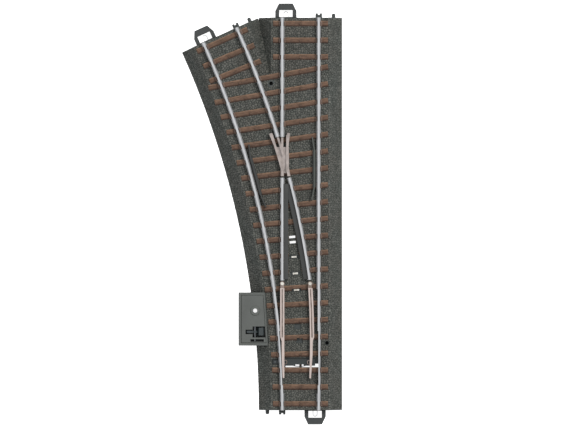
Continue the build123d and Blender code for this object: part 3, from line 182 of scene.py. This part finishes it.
def remap(tree, value, low, high, from_low=0.0, from_high=1.0):
    """Linear map of a value onto low..high."""
    node = add_node(tree, "ShaderNodeMapRange")
    node.inputs["From Min"].default_value = from_low
    node.inputs["From Max"].default_value = from_high
    node.inputs["To Min"].default_value = low
    node.inputs["To Max"].default_value = high
    tree.links.new(value, node.inputs["Value"])
    return node.outputs["Result"]


def mix_colour(tree, factor, first, second):
    """Mixes two colours; each is a socket or a plain colour."""
    node = add_node(tree, "ShaderNodeMix", data_type="RGBA")
    inputs = (node.inputs[0], node.inputs[6], node.inputs[7])
    for socket, value in zip(inputs, (factor, first, second)):
        if isinstance(value, bpy.types.NodeSocket):
            tree.links.new(value, socket)
        elif isinstance(value, tuple):
            socket.default_value = (*value, 1)
        else:
            socket.default_value = value
    return node.outputs[2]


def bump(tree, shader, height, distance, strength=1.0):
    """Bump from a height value, distance in millimetres."""
    node = add_node(tree, "ShaderNodeBump", Strength=strength, Distance=distance * MM)
    tree.links.new(height, node.inputs["Height"])
    tree.links.new(node.outputs["Normal"], shader.inputs["Normal"])


def scaled(colour, factor):
    """A colour made lighter or darker."""
    return tuple(channel * factor for channel in colour)


plastic_cloud = 90.0
plastic_grain = 3200.0


def moulded_plastic(name, colour, spread=0.18, rough=(0.42, 0.6), grain=0.012, specular=0.5):
    """Matt injection-moulded plastic: cloudy tint, fine grain, faint dust in the grain."""
    material, tree, shader = new_material(name)
    where = rest_position(tree)
    cloud = noise_value(tree, where, plastic_cloud, 4.0)
    fine = noise_value(tree, where, plastic_grain, 3.0, 0.6)
    tint = ramp(tree, cloud, (0.3, scaled(colour, 1 - spread)), (0.7, scaled(colour, 1 + spread)))
    dusty = mix_colour(tree, remap(tree, fine, 0.0, 0.22, 0.45, 0.8), tint, scaled(colour, 1.5))
    tree.links.new(dusty, shader.inputs["Base Color"])
    tree.links.new(remap(tree, fine, *rough), shader.inputs["Roughness"])
    shader.inputs["Specular IOR Level"].default_value = specular
    bump(tree, shader, fine, grain)
    return material


metal_lines = (9000, 220, 2600)
metal_cloud = 260.0
metal_scratch = 0.003
# depths below the rail top over which the polished head gives way to painted shade on the web and
# foot
polish_and_shade_depth = 0.25
polish_and_shade_edge = 0.02


def drawn_metal(name, colour, dull, direction=0.0, rough=(0.22, 0.42), top_z=None):
    """Nickel silver: fine draw lines, cloudy tarnish, and, when top_z is given, a polished top
    where wheels run, with painted shade darkening the web and foot below the head.
    """
    material, tree, shader = new_material(name)
    lines = noise_value(tree, rest_position(tree, metal_lines, direction), 1.0, 2.0)
    cloud = noise_value(tree, rest_position(tree), metal_cloud, 4.0)
    tint = ramp(tree, cloud, (0.32, dull), (0.66, colour))
    if top_z is not None:
        height = add_node(tree, "ShaderNodeSeparateXYZ")
        tree.links.new(rest_position(tree), height.inputs[0])
        polish_and_shade = remap(tree, height.outputs["Z"], 0.0, 1.0,
                      (top_z - polish_and_shade_depth) * MM, (top_z - polish_and_shade_edge) * MM)
        # below the top the metal is mixed towards the dull colour: painted shade under the head
        tint = mix_colour(tree, polish_and_shade, mix_colour(tree, 0.55, tint, dull), colour)
    streaked = mix_colour(tree, remap(tree, lines, 0.0, 0.35, 0.35, 0.75), tint, scaled(dull, 0.8))
    tree.links.new(streaked, shader.inputs["Base Color"])
    tree.links.new(remap(tree, cloud, rough[1], rough[0]), shader.inputs["Roughness"])
    shader.inputs["Metallic"].default_value = 1.0
    bump(tree, shader, lines, metal_scratch)
    return material


paper_tooth = 900.0
paper_glow = 0.9


def plain_floor():
    """White paper on a light table: a trace of tooth, lit from below so that openings show pale."""
    material, tree, shader = new_material("studio_paper")
    tooth = noise_value(tree, rest_position(tree), paper_tooth)
    white = ramp(tree, tooth, (0.2, (0.93, 0.93, 0.93)), (0.8, (0.96, 0.96, 0.96)))
    tree.links.new(white, shader.inputs["Base Color"])
    shader.inputs["Roughness"].default_value = 0.9
    shader.inputs["Emission Color"].default_value = (1, 1, 1, 1)
    shader.inputs["Emission Strength"].default_value = paper_glow
    return material


def tone(red, green, blue):
    """Linear colour of an 8-bit display colour."""
    values = [channel / 255 for channel in (red, green, blue)]
    return tuple(v / 12.92 if v <= 0.04045 else ((v + 0.055) / 1.055) ** 2.4 for v in values)


stone_grit = 2600.0
stone_cloud = 60.0
wood_speck = 2400.0


def stone_material():
    """Moulded ballast: each stone its own shade, with painted light on the flat top of the bed
    carried in the shade value, darker in the joints, gritty surface.
    """
    material, tree, shader = new_material("ballast_stones")
    shade = add_node(tree, "ShaderNodeAttribute", attribute_name="shade")
    depth = add_node(tree, "ShaderNodeAttribute", attribute_name="depth")
    where = rest_position(tree)
    grit = noise_value(tree, where, stone_grit, 4.0, 0.65)
    cloud = noise_value(tree, where, stone_cloud, 3.0)
    stones = ramp(
        tree,
        shade.outputs["Fac"],
        (0.0, tone(64, 67, 63)),
        (0.45, tone(76, 79, 75)),
        (0.8, tone(86, 88, 84)),
        (1.0, tone(100, 101, 96)),
    )
    warm = mix_colour(tree, remap(tree, cloud, 0.0, 0.5, 0.35, 0.7), stones, tone(82, 77, 71))
    speckled = mix_colour(tree, remap(tree, grit, 0.0, 0.25, 0.5, 0.8), warm, tone(102, 104, 100))
    joints = mix_colour(tree, depth.outputs["Fac"], tone(42, 47, 44), speckled)
    tree.links.new(joints, shader.inputs["Base Color"])
    tree.links.new(remap(tree, grit, 0.6, 0.85), shader.inputs["Roughness"])
    shader.inputs["Specular IOR Level"].default_value = 0.25
    bump(tree, shader, grit, 0.04)
    return material


def wood_material():
    """Brown moulded sleeper: grain streaks in shade, darker pores, painted shade along the -Y edge
    and a painted highlight along the +Y edge, a little dust on top.
    """
    material, tree, shader = new_material("sleeper_wood_grain")
    shade = add_node(tree, "ShaderNodeAttribute", attribute_name="shade")
    depth = add_node(tree, "ShaderNodeAttribute", attribute_name="depth")
    where = rest_position(tree)
    speck = noise_value(tree, where, wood_speck, 3.0)
    base = ramp(
        tree,
        shade.outputs["Fac"],
        (0.0, tone(74, 54, 42)),
        (0.5, tone(102, 77, 61)),
        (1.0, tone(130, 103, 83)),
    )
    # the depth value darkens pores and also paints shade along the -Y edge of each sleeper
    pores_and_edge_shade = mix_colour(tree, depth.outputs["Fac"], tone(58, 44, 38), base)
    dusty = mix_colour(tree, remap(tree, speck, 0.0, 0.3, 0.5, 0.85), pores_and_edge_shade, tone(150, 126, 108))
    tree.links.new(dusty, shader.inputs["Base Color"])
    tree.links.new(remap(tree, speck, 0.5, 0.75), shader.inputs["Roughness"])
    shader.inputs["Specular IOR Level"].default_value = 0.3
    bump(tree, shader, speck, 0.015)
    return material


# ---------------------------------------------------------------- mesh kit
def make_piece(name, vertices, faces, material, body, replaced=()):
    """Mesh in millimetres as a named piece that rides on a CAD body."""
    mesh = bpy.data.meshes.new(name)
    mesh.from_pydata((np.asarray(vertices) * MM).tolist(), [], faces)
    mesh.validate()
    mesh.materials.append(material)
    piece = bpy.data.objects.new(name, mesh)
    bpy.context.scene.collection.objects.link(piece)
    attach(piece, body)
    if replaced:
        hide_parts(*replaced)
    return piece


def set_shades(piece, **values):
    """Stores one number per vertex under each name, for the materials to read."""
    for name, numbers in values.items():
        layer = piece.data.attributes.new(name, "FLOAT", "POINT")
        layer.data.foreach_set("value", np.asarray(numbers, np.float32))


def mesh_points(node):
    """Vertices of a CAD node, in millimetres."""
    mesh = nodes[node].data
    points = np.zeros(len(mesh.vertices) * 3)
    mesh.vertices.foreach_get("co", points)
    return points.reshape(-1, 3) / MM


def islands(node):
    """Vertices of each separate solid of a CAD node, in millimetres."""
    points = mesh_points(node)
    _, where = np.unique(np.round(points, 4), axis=0, return_inverse=True)
    where = where.ravel()
    group = np.arange(where.max() + 1)

    def root(item):
        while group[item] != item:
            group[item] = group[group[item]]
            item = group[item]
        return item

    for edge in nodes[node].data.edges:
        first, second = root(where[edge.vertices[0]]), root(where[edge.vertices[1]])
        group[first] = second
    roots = np.array([root(item) for item in where])
    return [points[roots == item] for item in np.unique(roots)]


probe_height = 30.0


def top_heights(node, x, y):
    """Height of a CAD node's top surface over plan points, in millimetres; -1 beside it."""
    mesh = nodes[node].data
    faces = [tuple(face.vertices) for face in mesh.polygons]
    tree = BVHTree.FromPolygons(mesh_points(node).tolist(), faces)
    down = Vector((0, 0, -1))
    heights = []
    for place_x, place_y in zip(x.ravel().tolist(), y.ravel().tolist()):
        hit = tree.ray_cast(Vector((place_x, place_y, probe_height)), down)[0]
        heights.append(-1.0 if hit is None else hit.z)
    return np.array(heights).reshape(x.shape)


# ---------------------------------------------------------------- ballast
stone_pitch = 1.1
stone_height = 0.42
stone_joint = 0.34
stone_seed = 7
stone_table = 256
stone_jitter = 0.85
stone_sink = 0.03
stone_base = 0.09
cell = 0.25
slope_step = 0.3
edge_fade = 0.5
end_overlap = 1.0
opening_drop = 0.12
# lift of the shade value on the flat top of the bed: painted light
flat_top_light = 0.55
top_tolerance = 0.1


def bed_height(x, y):
    """Height of the plain bed under the stones: the higher of the two beds."""
    straight = (bed_half_base - np.abs(x)) * bed_slope
    offset = np.hypot(x + curve_radius, y) - curve_radius
    curved = (bed_half_base - np.abs(offset)) * bed_slope
    angle = np.degrees(np.arctan2(y, x + curve_radius))
    curved = np.where(angle > turnout_angle + 1e-6, -1, curved)
    return np.clip(np.maximum(straight, curved), 0, ballast_top)


def stone_field(x, y):
    """Height 0..1, shade 0..1 and joint factor 0..1 of a packed layer of angular stones."""
    random = np.random.default_rng(stone_seed)
    table = random.random((stone_table, stone_table, 6))
    u, v = x / stone_pitch, y / stone_pitch
    column, row = np.floor(u).astype(int), np.floor(v).astype(int)
    nearest = np.full(x.shape, 9.0)
    second = np.full(x.shape, 9.0)
    pick = np.zeros(x.shape + (6,))
    away = np.zeros(x.shape + (2,))
    for shift_u in (-1, 0, 1):
        for shift_v in (-1, 0, 1):
            cells = table[(column + shift_u) % stone_table, (row + shift_v) % stone_table]
            gap_u = u - (column + shift_u + 0.5 + (cells[..., 0] - 0.5) * stone_jitter)
            gap_v = v - (row + shift_v + 0.5 + (cells[..., 1] - 0.5) * stone_jitter)
            distance = np.hypot(gap_u, gap_v) * (0.85 + 0.3 * cells[..., 2])
            closer = distance < nearest
            second = np.where(closer, nearest, np.minimum(second, distance))
            nearest = np.where(closer, distance, nearest)
            pick = np.where(closer[..., None], cells, pick)
            away = np.where(closer[..., None], np.stack([gap_u, gap_v], -1), away)
    joint = np.clip((second - nearest) / stone_joint, 0, 1)
    joint = joint * joint * (3 - 2 * joint)
    turn = pick[..., 3] * 2 * math.pi
    tilt = away[..., 0] * np.cos(turn) + away[..., 1] * np.sin(turn)
    crown = 0.45 + 0.4 * pick[..., 4] + 0.55 * tilt - 0.35 * nearest * nearest
    return np.clip(crown, 0.05, 1.1) * joint, pick[..., 5], joint


def lay_stones(name, x, y, along, end_distance, wanted, material):
    """Stone layer over a grid of plan points, left out where the CAD bed has an opening.

    along holds the two coordinates that the stone pattern follows; wanted says which faces the
    layer may have.
    """
    step = slope_step
    base = bed_height(x, y)
    solid = top_heights("roadbed", x, y) > base - opening_drop
    rise_x = (bed_height(x + step, y) - bed_height(x - step, y)) / (2 * step)
    rise_y = (bed_height(x, y + step) - bed_height(x, y - step)) / (2 * step)
    rise_y = np.where(end_distance > step, rise_y, 0)
    length = np.sqrt(1 + rise_x**2 + rise_y**2)
    height, shade, joint = stone_field(*along)
    near = solid.copy()
    near[1:] &= solid[:-1]
    near[:-1] &= solid[1:]
    near[:, 1:] &= solid[:, :-1]
    near[:, :-1] &= solid[:, 1:]
    # stones on the flat top of the bed are shaded lighter than those on the slopes: painted light
    shade = 0.75 * shade + flat_top_light * (base > ballast_top - top_tolerance)
    fade = np.clip(end_distance / edge_fade, 0, 1) * near
    fade *= np.clip(0.45 + base, 0, 1)
    lift = -stone_sink + fade * (stone_base + stone_height * height)
    px = x - rise_x / length * lift
    py = y - rise_y / length * lift
    pz = np.maximum(base + lift / length, 0.0)
    rows, columns = x.shape
    index = np.arange(rows * columns).reshape(rows, columns)
    quads = np.stack([index[:-1, :-1], index[:-1, 1:], index[1:, 1:], index[1:, :-1]], -1)
    keep = wanted & solid[:-1, :-1] & solid[:-1, 1:] & solid[1:, 1:] & solid[1:, :-1]
    quads = quads[keep].reshape(-1, 4)
    used, flat = np.unique(quads, return_inverse=True)
    points = np.stack([px, py, pz], -1).reshape(-1, 3)[used]
    piece = make_piece(name, points, flat.reshape(-1, 4).tolist(), material, "track")
    depth = joint * (0.35 + 0.65 * fade)
    set_shades(piece, shade=shade.ravel()[used], depth=depth.ravel()[used])


def face_centres(grid):
    """Mean of each grid face's corners."""
    return (grid[:-1, :-1] + grid[:-1, 1:] + grid[1:, 1:] + grid[1:, :-1]) / 4


slope_stretch = (math.hypot(bed_slope_run, ballast_top) - bed_slope_run) / ballast_top


def down_slope(offset, x, y):
    """Distance from the track centre, measured over the shoulders of the bed."""
    return offset + np.sign(offset) * slope_stretch * (ballast_top - bed_height(x, y))


def make_ballast():
    """Stone layers over the straight bed, in two lengths, and over the rest of the curved bed."""
    material = stone_material()
    columns = np.linspace(-bed_half_base, bed_half_base, round(2 * bed_half_base / cell) + 1)
    halves = ((0.0, straight_length / 2, "lower"), (straight_length / 2, straight_length, "upper"))
    for low, high, part in halves:
        rows = np.linspace(low, high, round((high - low) / cell) + 1)
        x, y = np.meshgrid(columns, rows)
        wanted = face_centres(x) < bed_half_base
        lay_stones(f"ballast_stones_straight_{part}", x, y, (down_slope(x, x, y), y),
                   np.minimum(y, straight_length - y), wanted, material)
    arc_length = curve_radius * math.radians(turnout_angle)
    angles = np.radians(np.linspace(0, turnout_angle, round(arc_length / cell) + 1))
    offset, angle = np.meshgrid(columns, angles)
    radius = curve_radius + offset
    x = radius * np.cos(angle) - curve_radius
    y = radius * np.sin(angle)
    end_distance = radius * np.minimum(angle, math.radians(turnout_angle) - angle)
    mid_x, mid_y = face_centres(x), face_centres(y)
    outside = mid_x < -bed_half_base + cell / 2
    past_end = (mid_y > straight_length) & (mid_x < end_overlap - bed_half_base)
    wanted = outside | past_end
    lay_stones("ballast_stones_diverging", x, y, (down_slope(offset, x, y), curve_radius * angle),
               end_distance, wanted, material)


# ---------------------------------------------------------------- sleepers
grain_step_long = 0.3
grain_step_across = 0.14
sleeper_edge = 0.2
# width of the bevel on the -Y edge and of the painted shade along that edge
worn_and_shaded_edge = 0.8
# width of the painted highlight along the +Y edge
highlight_edge_width = 0.8
worn_drop = 0.5
round_depth = 0.16
groove_depth = 0.07
groove_width = 0.22
foot_shade = 0.8
foot_depth = 0.35
turn_low, turn_high, turn_steps = -1, 26, 2701


def box_direction(plan):
    """Direction of the smallest box round plan points, among the turns that sleepers have."""
    best = None
    for turn in np.radians(np.linspace(turn_low, turn_high, turn_steps)):
        axis = np.array([math.cos(turn), math.sin(turn)])
        side = np.array([-axis[1], axis[0]])
        area = np.ptp(plan @ axis) * np.ptp(plan @ side)
        if best is None or area < best[0]:
            best = (area, axis, side)
    return best[1], best[2]


def grained_point(number, u, v, edge, near_edge, far_edge):
    """Drop, shade and pore value of one sleeper's surface at a place along and across it; the shade
    holds a painted highlight along the +Y edge, the pore value a painted shade along the -Y edge.
    """
    groove = abs(noise.noise(Vector((u * 0.22 + number * 17.0, v * 5.5, number * 2.1))))
    fine = noise.noise(Vector((u * 0.7, v * 13.0, number * 5.3)))
    tone_shift = noise.noise(Vector((number * 3.7, 1.3, 9.1))) * 0.5 + 0.5
    pore = min(1.0, groove / groove_width)
    round_off = max(0.0, 1 - edge / sleeper_edge) ** 2 * round_depth
    round_off += max(0.0, 1 - near_edge / worn_and_shaded_edge) * worn_drop
    drop = groove_depth * (1 - pore) + 0.02 * (fine + 0.5) + round_off
    # painted shade along the -Y edge of the sleeper
    low_edge_shade = min(1.0, max(0.08, (near_edge - 0.25) / worn_and_shaded_edge))
    # painted highlight along the +Y edge of the sleeper
    edge_highlight = max(0.0, 1 - far_edge / highlight_edge_width)
    shade = 0.25 + 0.4 * tone_shift + 0.3 * fine + 0.7 * edge_highlight
    return max(0.0, drop), shade, (0.25 + 0.75 * pore) * low_edge_shade


def make_sleepers():
    """Sleepers with rounded and bevelled edges and grain grooves, painted shade along the -Y edge
    and a painted highlight along the +Y edge; openings follow the CAD sleepers.
    """
    vertices, faces, shades, depths = [], [], [], []
    for number, points in enumerate(sorted(islands("sleepers"), key=lambda p: p[:, 1].mean())):
        axis, side = box_direction(points[:, :2])
        lengths, widths = points[:, :2] @ axis, points[:, :2] @ side
        steps_long = round(np.ptp(lengths) / grain_step_long)
        steps_across = round(np.ptp(widths) / grain_step_across)
        along = np.linspace(lengths.min(), lengths.max(), steps_long + 1)
        wide = np.linspace(widths.min(), widths.max(), steps_across + 1)
        v, u = np.meshgrid(wide, along)
        x, y = u * axis[0] + v * side[0], u * axis[1] + v * side[1]
        heights = top_heights("sleepers", face_centres(x), face_centres(y))
        solid = heights > sleeper_top_z - top_tolerance
        index = np.arange(x.size).reshape(x.shape)
        quads = np.stack([index[:-1, :-1], index[1:, :-1], index[1:, 1:], index[:-1, 1:]], -1)
        quads = quads[solid]
        used, flat = np.unique(quads, return_inverse=True)
        start = len(vertices)
        for item in used:
            row, column = divmod(int(item), x.shape[1])
            place_u, place_v = u[row, column], v[row, column]
            near_edge, far_edge = place_v - wide[0], wide[-1] - place_v
            edge = min(place_u - along[0], along[-1] - place_u, near_edge, far_edge)
            drop, shade, pore = grained_point(number, place_u, place_v, edge, near_edge, far_edge)
            vertices.append((x[row, column], y[row, column], sleeper_top_z - drop))
            shades.append(shade)
            depths.append(pore)
        top = (flat.reshape(-1, 4) + start).tolist()
        faces += [tuple(face) for face in top]
        sides = {}
        for face in top:
            for corner in range(4):
                sides[face[corner], face[(corner + 1) % 4]] = True
        feet = {}
        for first, second in sides:
            if (second, first) in sides:
                continue
            for item in (first, second):
                if item not in feet:
                    feet[item] = len(vertices)
                    vertices.append((*vertices[item][:2], sleeper_low_z))
                    shades.append(shades[item] * foot_shade)
                    depths.append(foot_depth)
            faces.append((second, first, feet[first], feet[second]))
    piece = make_piece("sleepers_grained", vertices, faces, wood_material(), "track",
                       ("sleepers",))
    set_shades(piece, shade=np.clip(shades, 0, 1), depth=np.clip(depths, 0, 1))


# ---------------------------------------------------------------- rail chairs
chair_profile = ((0.0, 0.0), (0.0, 0.52), (0.12, 0.74), (0.5, 0.82), (0.86, 0.85), (1.0, 0.76),
                 (1.03, 0.5), (0.62, 0.5), (0.55, 0.0))
chair_ends = ((-1.1, 0.72), (-0.96, 0.97), (-0.5, 1.0), (0.5, 1.0), (0.96, 0.97), (1.1, 0.72))
bolt_across, bolt_radius, bolt_height, bolt_sides = 0.3, 0.27, 0.28, 8
bolt_rings = ((1.0, 0.0), (1.0, 0.6), (0.8, 0.9), (0.0, 1.0))
chair_floor = 7.9
bolt_seat = 0.7
foot_tolerance = 0.01


def make_chairs():
    """Rail chairs as moulded clips: a ramped lip over the foot and a bolt head behind it."""
    vertices, faces = [], []
    for points in islands("rail_chairs"):
        plan = points[:, :2]
        low = plan[points[:, 2] < chair_floor + foot_tolerance]
        middle = (plan.max(0) + plan.min(0)) / 2
        axis, side = box_direction(plan)
        inward = axis if (middle - low.mean(0)) @ axis > 0 else -axis
        outer = (plan @ inward).min()
        centre_side = ((plan @ side).max() + (plan @ side).min()) / 2
        start, count = len(vertices), len(chair_profile)
        for length, scale in chair_ends:
            for across, height in chair_profile:
                place = inward * (outer + across) + side * (centre_side + length)
                vertices.append((*place, chair_floor + height * scale))
        for ring in range(len(chair_ends) - 1):
            for item in range(count):
                first = start + ring * count + item
                second = start + ring * count + (item + 1) % count
                faces.append((first, second, second + count, first + count))
        faces.append(tuple(start + item for item in range(count)))
        faces.append(tuple(start + (len(chair_ends) - 1) * count + item for item in range(count)))
        bolt = inward * (outer + bolt_across) + side * centre_side
        start = len(vertices)
        for scale, height in bolt_rings:
            for item in range(bolt_sides):
                turn = 2 * math.pi * item / bolt_sides
                reach = bolt_radius * scale
                vertices.append((bolt[0] + reach * math.cos(turn), bolt[1] + reach * math.sin(turn),
                                 chair_floor + bolt_seat + bolt_height * height))
        for ring in range(len(bolt_rings) - 1):
            for item in range(bolt_sides):
                first = start + ring * bolt_sides + item
                second = start + ring * bolt_sides + (item + 1) % bolt_sides
                faces.append((first, second, second + bolt_sides, first + bolt_sides))
    material = moulded_plastic("chair_plastic", tone(92, 72, 60))
    make_piece("rail_chairs_clipped", vertices, faces, material, "track",
               ("rail_chairs",))


# ---------------------------------------------------------------- carried-over CAD nodes
def finish_nodes():
    """Gives every CAD node that stays visible its material."""
    rail_top = box_mm("stock_rail_straight")[1][2]
    rail = drawn_metal("rail_nickel_silver", tone(196, 197, 199), tone(118, 119, 120), 0.0,
                       top_z=rail_top)
    frog = drawn_metal("frog_cast_metal", tone(178, 168, 164), tone(140, 132, 128), 0.3,
                       rough=(0.35, 0.55))
    blade = drawn_metal("blade_metal", tone(200, 186, 180), tone(116, 102, 94), 0.0,
                        rough=(0.3, 0.45), top_z=rail_top)
    contact = drawn_metal("contact_sheet_metal", tone(226, 224, 216), tone(178, 174, 164), 0.2,
                          rough=(0.3, 0.45))
    stud = drawn_metal("blackened_stud", tone(112, 92, 80), tone(84, 68, 58), 0.2, rough=(0.4, 0.6))
    spring = drawn_metal("spring_steel", tone(128, 131, 134), tone(92, 95, 98), 0.1)
    screw = drawn_metal("screw_steel", tone(176, 178, 182), tone(130, 132, 136), 0.5)
    looks = {
        rail: ("stock_rail_straight", "stock_rail_curved", "closure_rail_straight",
               "closure_rail_curved", "exit_rail_straight", "exit_rail_diverging"),
        frog: ("frog_casting",),
        blade: ("left_blade", "right_blade"),
        contact: ("wide_contacts", "rail_jumpers", "blade_pivot_pins"),
        stud: ("contact_strip_straight", "contact_strip_diverging"),
        spring: ("link_spring", "lever_axle", "detent_spring", "joint_contacts"),
        screw: ("retainer_screws", "cover_screws"),
        moulded_plastic("bed_plastic", tone(48, 54, 53)): ("roadbed",),
        moulded_plastic("guide_plastic", tone(48, 50, 49), rough=(0.35, 0.5)): (
            "guide_strip_straight",),
        # darker copy of the guide plastic: on the curved strip it is painted shade, that strip
        # lying on the shadow side of the curved closure rail; the left check rail shares this
        # darker tone
        moulded_plastic("guide_plastic_dark_and_shaded", tone(40, 42, 41), rough=(0.35, 0.5)): (
            "guide_strip_curved", "check_rail_left"),
        moulded_plastic("check_rail_plastic", tone(62, 66, 61), 0.1, (0.4, 0.55)): (
            "check_rail_right",),
        moulded_plastic("housing_plastic", tone(81, 84, 81), 0.14, (0.38, 0.5), 0.008): (
            "lever_housing", "lever_housing_cover"),
        moulded_plastic("joint_plastic", tone(44, 48, 48), rough=(0.35, 0.5)): (
            "latch_loop_toe", "latch_loop_straight", "latch_loop_diverging"),
        moulded_plastic("lever_plastic", tone(42, 50, 52), 0.08, (0.35, 0.5), 0.005): (
            "hand_lever",),
        moulded_plastic("mechanism_plastic", tone(28, 36, 36), rough=(0.35, 0.5)): (
            "throw_bar", "throw_bar_retainer", "drive_slide", "mechanism_cover"),
    }
    for material, names in looks.items():
        for name in names:
            data = nodes[name].data
            data.materials.clear()
            data.materials.append(material)


make_camera()
make_lights()
make_floor()
finish_nodes()
make_ballast()
make_sleepers()
make_chairs()
